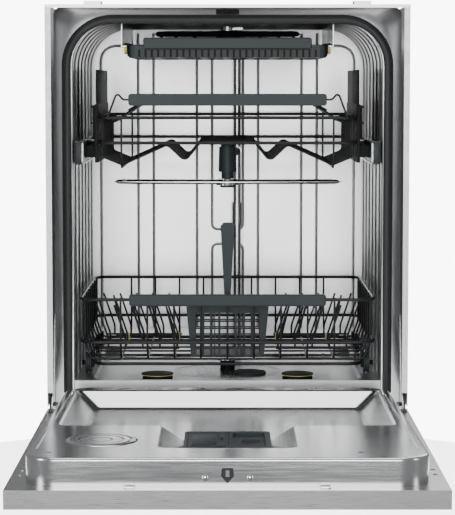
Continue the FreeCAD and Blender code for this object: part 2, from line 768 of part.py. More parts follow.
def hinge_bracket():
    """Fixed plate on the casing's side with the door's pivot pin."""
    x0 = flange_half_width
    plate = prism_x([(front_y + 36, base_top_z + 8), (front_y + 80, base_top_z + 8), (front_y + 80, 300),
                     (front_y + 55, 300), (front_y + 24, 190), (hinge_y - 9, door_hinge_z + 9),
                     (hinge_y - 9, door_hinge_z - 9), (front_y + 36, door_hinge_z - 9)], x0, x0 + 2.5)
    pin = cylinder(hinge_pin_radius, Vector(x0 + 1, hinge_y, door_hinge_z),
                   Vector(277, hinge_y, door_hinge_z))
    return plate.fuse(pin)


def hinge_arm():
    """Door side of the hinge: a plate inside the door's heel, bored for the pin."""
    plate = prism_x([(hinge_y + 8, door_hinge_z - 9), (hinge_y + 8, door_hinge_z + 9),
                     (hinge_y - 4, door_hinge_z + 9), (hinge_y - 30, skin_top_z - 3),
                     (hinge_y - 34, skin_top_z - 3),
                     (hinge_y - 34, skin_bottom_z + 1.8), (hinge_y - 4, skin_bottom_z + 1.8)], 279, 283)
    bore = cylinder(hinge_pin_radius + hinge_pin_clearance, Vector(270, hinge_y, door_hinge_z),
                    Vector(300, hinge_y, door_hinge_z))
    return plate.cut(bore)


def door_spring():
    """Counterbalance spring along the base, between its hook and the arm's cord wheel."""
    y0 = spring_end_y - spring_length
    coil = tube(7, 4.5, Vector(spring_x, y0, spring_z), Vector(spring_x, spring_end_y - 10, spring_z))
    cap = cylinder(7, Vector(spring_x, spring_end_y - 10, spring_z),
                   Vector(spring_x, spring_end_y - 7, spring_z))
    hook = cylinder(1.5, Vector(spring_x, spring_end_y - 7, spring_z),
                    Vector(spring_x, spring_end_y - running_gap, spring_z))
    return coil.fuse(cap).fuse(hook)


# ---- racks ----------------------------------------------------------------------------------
def spread(count, low, high):
    step = (high - low) / (count - 1)
    return [low + index * step for index in range(count)]


x_wire_ys = spread(7, rack_front_y + 45, rack_back_y - 45)
y_wire_z = lower_base_z + wire_radius + 3 * cross_wire_radius + 2 * weld_gap


def lower_rack_frame():
    """Lower basket: three rails and upright U wires both ways."""
    y0 = rack_front_y
    y1 = rack_back_y
    wires = [ring_rail(lower_half_width, y0, y1, lower_rail_z, wire_radius, 26),
             ring_rail(lower_half_width, y0, y1, lower_mid_z, wire_radius, 26),
             ring_rail(lower_base_half_width, y0 + 18, y1 - 18, lower_base_z, wire_radius, 22)]
    inner = wire_radius + cross_wire_radius + weld_gap
    x_wire_z = lower_base_z + inner
    side = lower_half_width - inner
    base_side = lower_base_half_width + 6
    for y in x_wire_ys:
        wires.append(rod([(-side, y, lower_rail_z + 3), (-side, y, lower_mid_z - 4),
                          (-base_side, y, x_wire_z),
                          (base_side, y, x_wire_z), (side, y, lower_mid_z - 4),
                          (side, y, lower_rail_z + 3)],
                         cross_wire_radius, 8))
    for x in spread(9, -180, 180):
        front = y0 + inner
        back = y1 - inner
        wires.append(rod([(x, front, lower_rail_z + 3), (x, front, lower_mid_z - 4),
                          (x, front + 20, y_wire_z),
                          (x, back - 20, y_wire_z), (x, back, lower_mid_z - 4),
                          (x, back, lower_rail_z + 3)],
                         cross_wire_radius, 8))
    return wires


def lower_rack_tines():
    """Fixed plate combs that stand on the basket's lengthwise wires."""
    comb_z = y_wire_z + 2 * cross_wire_radius + weld_gap
    combs = []
    for y in (lower_row_ys[0], lower_row_ys[1], lower_row_ys[3]):
        for side in (-1, 1):
            combs.extend(tine_comb(side, y, comb_z))
    return combs


lower_row_ys = spread(4, rack_front_y + first_row_inset, rack_back_y - last_row_inset)
fold_comb_y = lower_row_ys[2]


def tine_comb(side, y, z):
    """A cross bar with upright tines that lean towards the rack's side."""
    bar = cylinder(cross_wire_radius, Vector(side * comb_inner_x, y, z), Vector(side * comb_outer_x, y, z))
    pieces = [bar]
    foot_z = z + cross_wire_radius + weld_gap
    for index in range(5):
        x = comb_inner_x + 4 + index * tine_pitch
        pieces.append(rod([(side * x, y, foot_z), (side * x, y, foot_z + tine_height * 0.2),
                           (side * (x + tine_lean), y, foot_z + tine_height)], cross_wire_radius, 30))
    return pieces


def fold_comb():
    """Folding comb: cross bar lying in two clips, with its tines."""
    y = fold_comb_y
    z = fold_comb_z
    comb = cylinder(cross_wire_radius, Vector(comb_inner_x, y, z), Vector(comb_outer_x - 20, y, z))
    for index in range(4):
        x = comb_inner_x + 14 + index * tine_pitch
        comb = comb.fuse(cylinder(cross_wire_radius, Vector(x, y, z),
                                  Vector(x + tine_lean * 0.9, y, z + tine_height)))
    return comb


def fold_clips():
    """Two clips that hold the folding comb to the rack's bottom."""
    clips = []
    for x in (89, 180):
        block = box(x - 3, x + 3, fold_comb_y - 5, fold_comb_y + 5,
                    lower_base_z + wire_radius + 4 * cross_wire_radius + 3 * weld_gap, fold_comb_z + 5)
        bore = cylinder(cross_wire_radius + 0.08, Vector(x - 4, fold_comb_y, fold_comb_z),
                        Vector(x + 4, fold_comb_y, fold_comb_z))
        clips.append(block.cut(bore))
    return clips


def rail_handle(z, y):
    """Moulded grip over the front rail."""
    grip = rounded_box(-handle_length / 2, handle_length / 2, y - handle_thickness,
                       y - wire_radius - weld_gap,
                       z - handle_height / 2, z + handle_height / 2, 5, "y")
    return grip


def wheel_carrier(sides_y):
    """Moulded bracket that joins the basket's side to its wheel pins."""
    low = lower_base_half_width + wire_radius + weld_gap
    y = sides_y
    plate = box(low, low + 4, y - 14, y + 14, lower_base_z - 12, lower_base_z + 16)
    pin = cylinder(wheel_axle_radius, Vector(low + 3, y, wheel_z), Vector(tub_half_width - 6, y, wheel_z))
    return plate.fuse(pin)


def wheel_rows():
    """Each wheel runs midway between two cross wires."""
    return [(x_wire_ys[0] + x_wire_ys[1]) / 2, (x_wire_ys[-2] + x_wire_ys[-1]) / 2]


def rack_wheel(y):
    low = lower_base_half_width + wire_radius + weld_gap + 4 + running_gap
    ring = tube(wheel_radius, wheel_axle_radius + wheel_bore_clearance, Vector(low, y, wheel_z),
                Vector(low + wheel_width, y, wheel_z))
    groove = tube(wheel_radius + 1, wheel_radius - 2, Vector(low + 3, y, wheel_z),
                  Vector(low + wheel_width - 3, y, wheel_z))
    dish = tube(wheel_radius - 5, wheel_axle_radius + 3, Vector(low + wheel_width - 2, y, wheel_z),
                Vector(low + wheel_width + 1, y, wheel_z))
    return ring.cut(groove).cut(dish)


def cutlery_basket():
    """Tapered basket with a square grid and two dividers."""
    y0 = basket_front_y
    top = level_loop(70, y0, y0 + 84, basket_top_z)
    bottom = level_loop(62, y0 + 5, y0 + 79, basket_bottom_z)
    outer = Part.makeLoft([bottom, top], True, True)
    top_in = level_loop(68, y0 + 2, y0 + 82, basket_top_z + 0.5)
    bottom_in = level_loop(60, y0 + 7, y0 + 77, basket_bottom_z + 2.5)
    basket = outer.cut(Part.makeLoft([bottom_in, top_in], True, True))
    holes = []
    for z in spread(6, basket_bottom_z + 8, basket_top_z - 16):
        for x in spread(8, -49, 49):
            holes.append(box(x - 5.2, x + 5.2, y0 - 5, y0 + 90, z - 5, z + 5))
        for y in spread(4, y0 + 20, y0 + 64):
            holes.append(box(-75, 75, y - 5.2, y + 5.2, z - 5, z + 5))
    basket = basket.cut(holes)
    for x in (-22.0, 22.0):
        basket = basket.fuse(box(x - 0.8, x + 0.8, y0 + 3, y0 + 81, basket_bottom_z + 1, basket_top_z - 14))
    return basket


def basket_handle():
    """Tall carrying fin on a cross bar over the basket's middle."""
    y = basket_front_y + 42
    bar = box(-69.5, 69.5, y - 4, y + 4, basket_top_z + 0.2, basket_top_z + 7)
    fin = prism_y([(-5, basket_top_z + 6), (5, basket_top_z + 6), (12, basket_top_z + 134),
                   (7, basket_top_z + 140),
                   (-7, basket_top_z + 140), (-12, basket_top_z + 134)], y - 6, y + 6)
    return bar.fuse(fin)


upper_wire_ys = spread(8, rack_front_y + 36, rack_back_y - 36)
cup_spindle_front_y = (upper_wire_ys[0] + upper_wire_ys[1]) / 2
cup_spindle_back_y = (upper_wire_ys[5] + upper_wire_ys[6]) / 2


def upper_rack_wires():
    """Upper basket: rails, cross wires and glass supports."""
    y0 = rack_front_y
    y1 = rack_back_y
    inner = wire_radius + cross_wire_radius + weld_gap
    half_x = upper_half_width
    wires = [ring_rail(half_x, y0, y1, upper_rail_z, wire_radius, 22),
             ring_rail(half_x, y0, y1, upper_mid_z, wire_radius, 22)]
    side = half_x - inner
    z = upper_base_z
    for y in upper_wire_ys:
        wires.append(rod([(-side, y, upper_rail_z + 3), (-side, y, z + 14), (-side + 34, y, z),
                          (-side + 110, y, z + 34),
                          (-side + 140, y, z + 6), (-44, y, z + 40), (44, y, z + 40),
                          (side - 140, y, z + 6),
                          (side - 110, y, z + 34), (side - 34, y, z), (side, y, z + 14),
                          (side, y, upper_rail_z + 3)],
                         cross_wire_radius, 9))
    long_z = z - 2 * cross_wire_radius - weld_gap
    for x in (-side + 34, side - 34):
        wires.append(rod([(x, y0 + inner, upper_rail_z + 3), (x, y0 + inner, long_z + 12),
                          (x, y0 + inner + 14, long_z),
                          (x, y1 - inner - 14, long_z), (x, y1 - inner, long_z + 12),
                          (x, y1 - inner, upper_rail_z + 3)],
                         cross_wire_radius, 9))
    return wires


def upper_handle_stays():
    """Wire loop that lifts the grip above the front rail."""
    y = rack_front_y - wire_radius - cross_wire_radius - weld_gap
    stays = []
    for side in (-1, 1):
        stays.append(rod([(side * 200, y, upper_rail_z), (side * 184, y, upper_rail_z + 42),
                          (side * 174, y, upper_handle_z), (side * 150, y, upper_handle_z)],
                         cross_wire_radius, 8))
    return stays


def upper_handle():
    y = rack_front_y - wire_radius - cross_wire_radius - weld_gap
    grip = rounded_box(-handle_length / 2, handle_length / 2, y - handle_thickness / 2,
                       y + handle_thickness / 2,
                       upper_handle_z - handle_height / 2, upper_handle_z + handle_height / 2, 5, "y")
    for side in (-1, 1):
        bore = cylinder(cross_wire_radius + weld_gap,
                        Vector(side * (handle_length / 2 + 1), y, upper_handle_z),
                        Vector(side * 149, y, upper_handle_z))
        grip = grip.cut(bore)
    return grip


def height_adjuster():
    """Moulded side plate of the upper basket, with its roller pocket."""
    x0 = upper_half_width + wire_radius + weld_gap
    plate = box(x0, x0 + 6, rack_front_y + 50, rack_back_y - 50, slide_z - slide_height / 2, 650)
    shelf = box(x0 + 6, runner_inner_x() - running_gap, rack_front_y + 60, rack_back_y - 60, slide_z - 10,
                slide_z + 10)
    return plate.fuse(shelf)


def slide_rail():
    """Fixed telescopic channel on the side wall."""
    x1 = tub_half_width - hoop_rib_height - running_gap
    x0 = x1 - slide_depth
    y0 = rack_front_y - 14
    y1 = rack_back_y + 8
    body = box(x0, x1, y0, y1, slide_z - slide_height / 2, slide_z + slide_height / 2)
    room = box(x0 - 1, x1 - 2, y0 - 1, y1 + 1, slide_z - slide_height / 2 + 3,
               slide_z + slide_height / 2 - 3)
    return body.cut(room)


def runner_inner_x():
    return tub_half_width - hoop_rib_height - running_gap - slide_depth + 1


def slide_runner():
    """Moving bar of the telescopic channel, fixed to the basket's adjuster."""
    x0 = runner_inner_x()
    x1 = tub_half_width - hoop_rib_height - running_gap - 2 - running_gap
    z = slide_height / 2 - 3 - running_gap
    return box(x0, x1, rack_front_y, rack_back_y, slide_z - z, slide_z + z)


def rail_end_cap():
    """Turn-out stop clipped on the channel's front end."""
    x1 = tub_half_width - hoop_rib_height - running_gap
    y1 = rack_front_y - 14 - running_gap
    cap = rounded_box(x1 - slide_depth, x1, y1 - 8, y1, slide_z - slide_height / 2,
                      slide_z + slide_height / 2, 3, "y")
    return cap.cut(box(x1 - slide_depth - 1, x1 - 1.5, y1 - 9, y1 + 1, slide_z - slide_height / 2 + 2.5,
                       slide_z + slide_height / 2 - 2.5))


def cup_shelf():
    """Folding shelf along the basket's side, on a wire spindle."""
    x = cup_hinge_x
    z = cup_hinge_z
    y0 = cup_spindle_front_y + 10
    y1 = cup_spindle_back_y - 10
    flap = prism_y([(x - 4, z - 2), (x + 2, z - 4), (x - 58, z + 38), (x - 61, z + 34)], y0, y1)
    eye = cylinder(4.5, Vector(x, y0, z), Vector(x, y1, z))
    bore = cylinder(cross_wire_radius + 0.08, Vector(x, y0 - 1, z), Vector(x, y1 + 1, z))
    return flap.fuse(eye).cut(bore)


def cup_spindle():
    """Wire the cup shelf turns on, welded to the rack's top rail ends."""
    y0 = cup_spindle_front_y
    y1 = cup_spindle_back_y
    x = cup_hinge_x
    x1 = upper_half_width
    z1 = upper_rail_z + wire_radius + cross_wire_radius + 1.3 * weld_gap + 0.6
    return rod([(x1, y0, z1), (x, y0, cup_hinge_z), (x, y1, cup_hinge_z), (x1, y1, z1)], cross_wire_radius,
               4)


def spray_hub():
    """Moulded feed under the upper basket: hub, tail pipe to the riser and the arm's axle."""
    y = upper_arm_y
    z = upper_arm_z + arm_thickness + 2 + running_gap
    hub = Part.makeCone(16, 15, 44, Vector(0, y, z + 12))
    neck = cylinder(11, Vector(0, y, z), Vector(0, y, z + 12))
    pin = cylinder(arm_axle_radius, Vector(0, y, z), Vector(0, y, upper_arm_z - 3))
    button_end = cylinder(13, Vector(0, y, upper_arm_z - running_gap - 4),
                          Vector(0, y, upper_arm_z - running_gap))
    tail = rod([(0, y, spray_feed_z), (0, y + 60, spray_feed_z), (riser_x, y + 120, spray_feed_z),
                (riser_x, riser_y - spout_reach - running_gap, spray_feed_z)], 6, 20)
    wire_under = upper_base_z + 40 - cross_wire_radius - weld_gap
    head = cylinder(12, Vector(0, y, z + 50), Vector(0, y, wire_under))
    hanger = box(-18, 18, y - 30, y + 30, wire_under - 4, wire_under)
    return hub.fuse(neck).fuse(pin).fuse(button_end).fuse(tail).fuse(head).fuse(hanger)


# ---- top cutlery tray -----------------------------------------------------------------------
def cutlery_tray():
    """Shallow moulded tray with slots and lattice ribs."""
    y0 = rack_front_y + 6
    y1 = y0 + tray_depth
    outer = rounded_box(-tray_half_width, tray_half_width, y0, y1, tray_z, tray_z + tray_height, 12, "z")
    room = rounded_box(-tray_half_width + 2, tray_half_width - 2, y0 + 2, y1 - 2, tray_z + 2,
                       tray_z + tray_height + 1, 10, "z")
    tray = outer.cut(room)
    slots = []
    for x in spread(8, -140, 140):
        for y in spread(9, y0 + 32, y1 - 32):
            slots.append(box(x - 13, x + 13, y - 14, y + 14, tray_z - 1, tray_z + 3))
    tray = tray.cut(slots)
    for x in (-56.0, 56.0):
        tray = tray.fuse(box(x - 1, x + 1, y0 + 1, y1 - 1, tray_z + 1, tray_z + tray_height))
    return tray


def tray_handle():
    y1 = rack_front_y + 6 - weld_gap
    return rounded_box(-140, 140, y1 - 12, y1, tray_z + 14, tray_z + 33, 4, "y")


def tray_runner():
    """Bar along the tray's side with its guide lip."""
    x0 = tray_half_width + weld_gap
    y0 = rack_front_y + 10
    web = box(x0, x0 + 2, y0, y0 + tray_depth - 10, tray_z + 2, tray_z + 24)
    lip = box(x0 + 2, x0 + 7, y0, y0 + tray_depth - 10, tray_z + 20, tray_z + 24)
    return web.fuse(lip)


def tray_rail():
    """Fixed channel hung from the ceiling beside the tray."""
    x0 = tray_half_width + weld_gap + 2 + 1.0
    y0 = rack_front_y + 4
    y1 = rack_back_y + 4
    low = tray_z + 20 - running_gap - 2
    foot = box(x0, x0 + 9, y0, y1, low, low + 2)
    web = box(x0 + 7, x0 + 9, y0, y1, low + 2, tub_ceiling_z - hoop_rib_height - running_gap)
    return foot.fuse(web)


def all_nodes():
    # casing and base
    save("side_panels", *both(side_panel()))
    save("top_brace", top_brace())
    save("base_frame", base_frame())
    save("levelling_feet", *[foot(x, y) for x, y in foot_places()])
    save("kick_plate", kick_plate())
    # tub
    save("tub_wrap", tub_wrap())
    save("tub_back", tub_back())
    save("tub_floor", tub_floor())
    save("door_gasket", door_gasket(), sill_seal())
    save("striker", striker())
    save("floor_caps", *both(floor_cap(120)))
    save("slide_rails", *both(slide_rail(), tray_rail()))
    save("rail_end_caps", *both(rail_end_cap()))
    # wash system
    save("sump", sump(), arm_tower())
    save("filter_plate", filter_plate())
    save("filter_cup", filter_cup())
    save("lower_spray_arm", spray_arm((0, sump_y + 20, lower_arm_z), lower_arm_length, arm_thickness, True))
    save("circulation_pump", circulation_pump())
    save("drain_pump", drain_pump())
    save("water_softener", water_softener())
    save("inlet_valve", inlet_valve())
    save("riser_pipe", riser_pipe())
    save("top_spray_arm", spray_arm((0, top_arm_y, tub_ceiling_z - 8 - running_gap - arm_thickness - 2),
                                    top_arm_length, arm_thickness, False))
    # door
    save("door_skin", door_skin())
    save("door_liner", door_liner())
    save("door_latch", door_latch())
    save("latch_screws", *latch_screws())
    save("dispenser_body", dispenser_body())
    save("detergent_lid", detergent_lid())
    save("rinse_cap", rinse_cap())
    save("vent_cap", vent_cap())
    save("control_board", control_board(), *button_switches())
    save("display_window", display_window())
    save("power_button", button(-button_x))
    save("start_button", button(button_x))
    save("hinge_brackets", *both(hinge_bracket()))
    save("hinge_arms", *both(hinge_arm()))
    save("door_springs", *both(door_spring()))
    # lower rack
    save("lower_rack_frame", *lower_rack_frame())
    save("lower_rack_tines", *lower_rack_tines())
    save("fold_clips", *both(*fold_clips()))
    save("fold_comb_right", fold_comb())
    save("fold_comb_left", mirrored(fold_comb()))
    save("lower_handle", rail_handle(lower_rail_z, rack_front_y))
    save("wheel_carriers", *both(*[wheel_carrier(y) for y in wheel_rows()]))
    save("front_wheels", *both(rack_wheel(wheel_rows()[0])))
    save("rear_wheels", *both(rack_wheel(wheel_rows()[1])))
    save("cutlery_basket", cutlery_basket())
    save("basket_handle", basket_handle())
    # upper rack
    save("upper_rack_wires", *(upper_rack_wires() + upper_handle_stays() + both(cup_spindle())))
    save("upper_handle", upper_handle())
    save("height_adjusters", *both(height_adjuster()))
    save("slide_runners", *both(slide_runner()))
    save("cup_shelf_right", cup_shelf())
    save("cup_shelf_left", mirrored(cup_shelf()))
    save("spray_hub", spray_hub())
    save("upper_spray_arm", spray_arm((0, upper_arm_y, upper_arm_z), upper_arm_length, arm_thickness, True))
    # cutlery tray
    save("cutlery_tray", cutlery_tray())
    save("tray_handle", tray_handle())
    save("tray_runners", *both(tray_runner()))


all_nodes()
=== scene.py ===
import bmesh
import bpy
import json
import math
from mathutils import Matrix, Vector

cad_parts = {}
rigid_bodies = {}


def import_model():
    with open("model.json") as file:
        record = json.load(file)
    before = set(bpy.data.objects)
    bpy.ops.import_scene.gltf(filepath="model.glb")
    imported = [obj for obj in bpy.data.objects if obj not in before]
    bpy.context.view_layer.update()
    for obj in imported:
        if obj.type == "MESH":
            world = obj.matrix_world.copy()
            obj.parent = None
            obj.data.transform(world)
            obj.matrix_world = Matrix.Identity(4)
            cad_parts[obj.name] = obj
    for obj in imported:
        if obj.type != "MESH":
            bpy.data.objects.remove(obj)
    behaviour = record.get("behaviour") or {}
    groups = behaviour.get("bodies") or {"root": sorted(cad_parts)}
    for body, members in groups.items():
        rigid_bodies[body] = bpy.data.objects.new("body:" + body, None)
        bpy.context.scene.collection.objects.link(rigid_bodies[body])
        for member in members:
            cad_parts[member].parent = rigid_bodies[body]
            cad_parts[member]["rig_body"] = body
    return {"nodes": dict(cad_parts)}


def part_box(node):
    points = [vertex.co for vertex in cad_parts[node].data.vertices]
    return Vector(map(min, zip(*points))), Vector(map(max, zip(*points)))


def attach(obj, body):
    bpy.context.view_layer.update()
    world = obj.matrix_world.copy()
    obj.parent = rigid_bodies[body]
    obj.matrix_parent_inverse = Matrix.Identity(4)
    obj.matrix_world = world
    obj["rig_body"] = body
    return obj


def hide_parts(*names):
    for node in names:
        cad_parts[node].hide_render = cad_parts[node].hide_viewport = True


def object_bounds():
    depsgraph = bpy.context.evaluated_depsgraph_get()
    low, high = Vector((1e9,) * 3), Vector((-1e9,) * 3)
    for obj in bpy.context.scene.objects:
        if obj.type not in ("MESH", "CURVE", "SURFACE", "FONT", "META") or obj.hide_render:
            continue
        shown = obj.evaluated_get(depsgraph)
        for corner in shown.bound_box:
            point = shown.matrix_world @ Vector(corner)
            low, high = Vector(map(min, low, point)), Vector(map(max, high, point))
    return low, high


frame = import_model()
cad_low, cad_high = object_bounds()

nodes = frame["nodes"]

# ---- Camera, light and floor -------------------------------------------------------------------
# A long lens stands straight in front of the open door, a little below the casing's top. Soft boxes
# over and beside it light the tub to its back wall, and the floor and surroundings are white.
casing_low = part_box("side_panels")[0]
camera_back = 3.306
camera_below_top = 0.131
camera_tilt = math.radians(4.98)

camera = bpy.data.objects.new("camera", bpy.data.cameras.new("camera"))
bpy.context.scene.collection.objects.link(camera)
camera.location = (0, casing_low.y - camera_back, cad_high.z - camera_below_top)
camera.rotation_euler = (math.radians(90) - camera_tilt, 0, 0)
camera.data.lens = 141.1
camera.data.sensor_width = 36.0
bpy.context.scene.camera = camera


def soft_box(name, place, aim, wide, high, power):
    """A rectangular soft light at a place, turned to face a point."""
    lamp = bpy.data.objects.new(name, bpy.data.lights.new(name, "AREA"))
    bpy.context.scene.collection.objects.link(lamp)
    lamp.data.shape = "RECTANGLE"
    lamp.data.size = wide
    lamp.data.size_y = high
    lamp.data.energy = power
    lamp.location = place
    lamp.rotation_euler = (Vector(aim) - Vector(place)).to_track_quat("-Z", "Y").to_euler()


soft_box("over_camera", (-0.20, -4.3, 0.95), (0, 0, 0.5), 2.3, 1.8, 92)
soft_box("above_door", (0, -0.80, 2.1), (0, -0.79, 0), 1.4, 0.9, 15)
soft_box("left_strip", (-2.4, -2.2, 1.0), (0, -0.5, 0.4), 0.7, 1.8, 26)
soft_box("right_strip", (2.6, -2.0, 1.0), (0, -0.5, 0.4), 0.5, 1.8, 14)
soft_box("behind", (1.2, 2.6, 1.9), (0, 0, 0.4), 1.6, 1.2, 26)

world = bpy.data.worlds.new("studio")
bpy.context.scene.world = world
world.use_nodes = True
sky = world.node_tree
seen = sky.nodes.new("ShaderNodeBackground")
seen.inputs["Color"].default_value = (1, 1, 1, 1)
seen.inputs["Strength"].default_value = 9.0
around = sky.nodes["Background"]
around.inputs["Color"].default_value = (0.80, 0.81, 0.82, 1)
around.inputs["Strength"].default_value = 0.34
ray = sky.nodes.new("ShaderNodeLightPath")
choose = sky.nodes.new("ShaderNodeMixShader")
sky.links.new(ray.outputs["Is Camera Ray"], choose.inputs[0])
sky.links.new(around.outputs[0], choose.inputs[1])
sky.links.new(seen.outputs[0], choose.inputs[2])
sky.links.new(choose.outputs[0], sky.nodes["World Output"].inputs["Surface"])


def new_piece(name, bm):
    """Turns a finished bmesh into an object at the origin, smooth across gentle edges only."""
    mesh = bpy.data.meshes.new(name)
    bm.to_mesh(mesh)
    bm.free()
    mesh.shade_smooth()
    mesh.set_sharp_from_angle(angle=math.radians(38))
    piece = bpy.data.objects.new(name, mesh)
    bpy.context.scene.collection.objects.link(piece)
    return piece


def worked_surface(name, light, dark, metal, rough, spread, stretch, scale, bump, broad=0.3, shine=0.5):
    """A finish with a fine grain, stretched along the way it was worked, and faint broad marks."""
    made = bpy.data.materials.new(name)
    made.use_nodes = True
    tree = made.node_tree
    shader = tree.nodes["Principled BSDF"]
    place = tree.nodes.new("ShaderNodeTexCoord")
    pull = tree.nodes.new("ShaderNodeMapping")
    pull.inputs["Scale"].default_value = stretch
    tree.links.new(place.outputs["Object"], pull.inputs["Vector"])
    grain = tree.nodes.new("ShaderNodeTexNoise")
    grain.inputs["Scale"].default_value = scale
    grain.inputs["Detail"].default_value = 5.0
    tree.links.new(pull.outputs["Vector"], grain.inputs["Vector"])
    marks = tree.nodes.new("ShaderNodeTexNoise")
    marks.inputs["Scale"].default_value = 5.0
    marks.inputs["Detail"].default_value = 2.0
    tree.links.new(place.outputs["Object"], marks.inputs["Vector"])
    mixed = tree.nodes.new("ShaderNodeMix")
    mixed.inputs[0].default_value = broad
    tree.links.new(grain.outputs["Fac"], mixed.inputs[2])
    tree.links.new(marks.outputs["Fac"], mixed.inputs[3])
    shade = tree.nodes.new("ShaderNodeValToRGB")
    shade.color_ramp.elements[0].position = 0.36
    shade.color_ramp.elements[1].position = 0.64
    shade.color_ramp.elements[0].color = (*dark, 1)
    shade.color_ramp.elements[1].color = (*light, 1)
    tree.links.new(mixed.outputs[0], shade.inputs["Fac"])
    tree.links.new(shade.outputs["Color"], shader.inputs["Base Color"])
    gloss = tree.nodes.new("ShaderNodeMapRange")
    gloss.inputs["From Min"].default_value = 0.36
    gloss.inputs["From Max"].default_value = 0.64
    gloss.inputs["To Min"].default_value = max(rough - spread, 0.02)
    gloss.inputs["To Max"].default_value = rough + spread
    tree.links.new(mixed.outputs[0], gloss.inputs["Value"])
    tree.links.new(gloss.outputs["Result"], shader.inputs["Roughness"])
    relief = tree.nodes.new("ShaderNodeBump")
    relief.inputs["Strength"].default_value = bump
    relief.inputs["Distance"].default_value = 0.0003
    tree.links.new(grain.outputs["Fac"], relief.inputs["Height"])
    tree.links.new(relief.outputs["Normal"], shader.inputs["Normal"])
    shader.inputs["Metallic"].default_value = metal
    shader.inputs["Specular IOR Level"].default_value = shine
    return made


def dress(finish, *pieces):
    """Gives one finish to new pieces, or to CAD nodes by name."""
    for piece in pieces:
        mesh = (nodes[piece] if isinstance(piece, str) else piece).data
        mesh.materials.clear()
        mesh.materials.append(finish)


bm = bmesh.new()
floor_middle = (0, -0.55, 0)
bmesh.ops.create_circle(bm, cap_ends=True, segments=96, radius=0.72, matrix=Matrix.Translation(floor_middle))
floor = new_piece("studio_floor", bm)
floor_paint = worked_surface("floor_paint", (0.90, 0.90, 0.90), (0.87, 0.87, 0.87), 0, 0.6, 0.05,
                             (1, 1, 1), 3, 0)
lit_paint = floor_paint.node_tree.nodes["Principled BSDF"]
lit_paint.inputs["Emission Color"].default_value = (1, 1, 1, 1)
lit_paint.inputs["Emission Strength"].default_value = 4.0
dress(floor_paint, floor)

# ---- Casing ------------------------------------------------------------------------------------
# Two galvanised sheet sides, folded in along their front edge, and a satin steel brace across the
# top with two worktop tabs. The folds are pressed from 1 mm sheet and their cut edges are dulled.
galvanised = worked_surface("galvanised_sheet", (0.56, 0.57, 0.58), (0.44, 0.45, 0.46), 0.9, 0.40, 0.10,
                            (1, 1, 1), 90, 0.15, broad=0.5)
satin_steel = worked_surface("satin_steel", (0.60, 0.60, 0.605), (0.52, 0.525, 0.53), 1.0, 0.30, 0.05,
                             (0.02, 1, 1), 900, 0.10)


def rounded_off(name, node, width, finish, clamp=True, segments=2):
    """A copy of one CAD node whose sharp edges are rounded off, standing in for it."""
    bm = bmesh.new()
    bm.from_mesh(nodes[node].data)
    bmesh.ops.remove_doubles(bm, verts=bm.verts, dist=2e-5)
    bmesh.ops.dissolve_limit(bm, angle_limit=math.radians(1), verts=bm.verts, edges=bm.edges)
    sharp = [edge for edge in bm.edges if edge.is_manifold and edge.calc_face_angle() > math.radians(30)]
    bmesh.ops.bevel(bm, geom=sharp, offset=width, offset_type="OFFSET", segments=segments, profile=0.5,
                    affect="EDGES", clamp_overlap=clamp, material=-1)
    piece = new_piece(name, bm)
    piece.modifiers.new("even_shading", "WEIGHTED_NORMAL").keep_sharp = True
    return placed(piece, finish, node)


def placed(piece, finish, *stands_for):
    """Dresses a new piece, and makes it stand for CAD nodes on their body."""
    dress(finish, piece)
    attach(piece, nodes[stands_for[0]]["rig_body"])
    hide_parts(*stands_for)
    return piece


dress(galvanised, "side_panels")
rounded_off("worktop_brace", "top_brace", 0.0004, satin_steel)

# ---- Base ---------------------------------------------------------------------------------------
# A black polypropylene tray carries the pumps and the tub. Its feet are screwed up and down, and a
# painted sheet plinth with three air slots closes it off below the door.
black_base = worked_surface("base_moulding", (0.034, 0.035, 0.037), (0.022, 0.023, 0.025), 0, 0.52, 0.08,
                            (1, 1, 1), 1400, 0.5)
painted_black = worked_surface("plinth_paint", (0.020, 0.020, 0.021), (0.015, 0.015, 0.016), 0, 0.36, 0.05,
                               (1, 1, 1), 700, 0.12)
rounded_off("base_tray", "base_frame", 0.0010, black_base)
rounded_off("screwed_feet", "levelling_feet", 0.0008, black_base)
rounded_off("plinth_board", "kick_plate", 0.0008, painted_black)

# ---- Tub wrap -----------------------------------------------------------------------------------
# Both side walls and the ceiling are one bright annealed stainless sheet, bent round two wide
# corners and pressed with hoop beads. Its front edge is turned out into a flat flange.
tub_steel = worked_surface("tub_steel", (0.66, 0.665, 0.67), (0.63, 0.635, 0.64), 1.0, 0.30, 0.02,
                           (1, 0.2, 0.2), 300, 0.003)
# The beads are the same steel as the sheet. Their finish is painted shade and painted reflection: much
# darker, standing in for dark surroundings mirrored in the beads' sides.
bead_painted_shade = worked_surface("bead_painted_shade", (0.16, 0.165, 0.17), (0.12, 0.125, 0.13), 1.0, 0.32, 0.03,
                            (1, 0.2, 0.2), 300, 0.003)
wrap_low, wrap_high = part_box("tub_wrap")
tub_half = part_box("tub_back")[1].x
tub_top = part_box("tub_back")[1].z
tub_corner = 0.072
flange_corner = 0.0145
bead_height = 0.002
bead_width = 0.007
bead_count = 6


def arch(bm, half, low, top, corner, y):
    """An open hoop round both sides and the top, with two rounded corners."""
    before = set(bm.edges)
    places = ((-half, y, low), (-half, y, top), (half, y, top), (half, y, low))
    corners = [bm.verts.new(place) for place in places]
    for pair in zip(corners, corners[1:]):
        bm.edges.new(pair)
    bmesh.ops.bevel(bm, geom=corners[1:3], offset=corner, offset_type="OFFSET", segments=14, profile=0.5,
                    affect="VERTICES", clamp_overlap=False, material=-1)
    return [edge for edge in bm.edges if edge not in before]


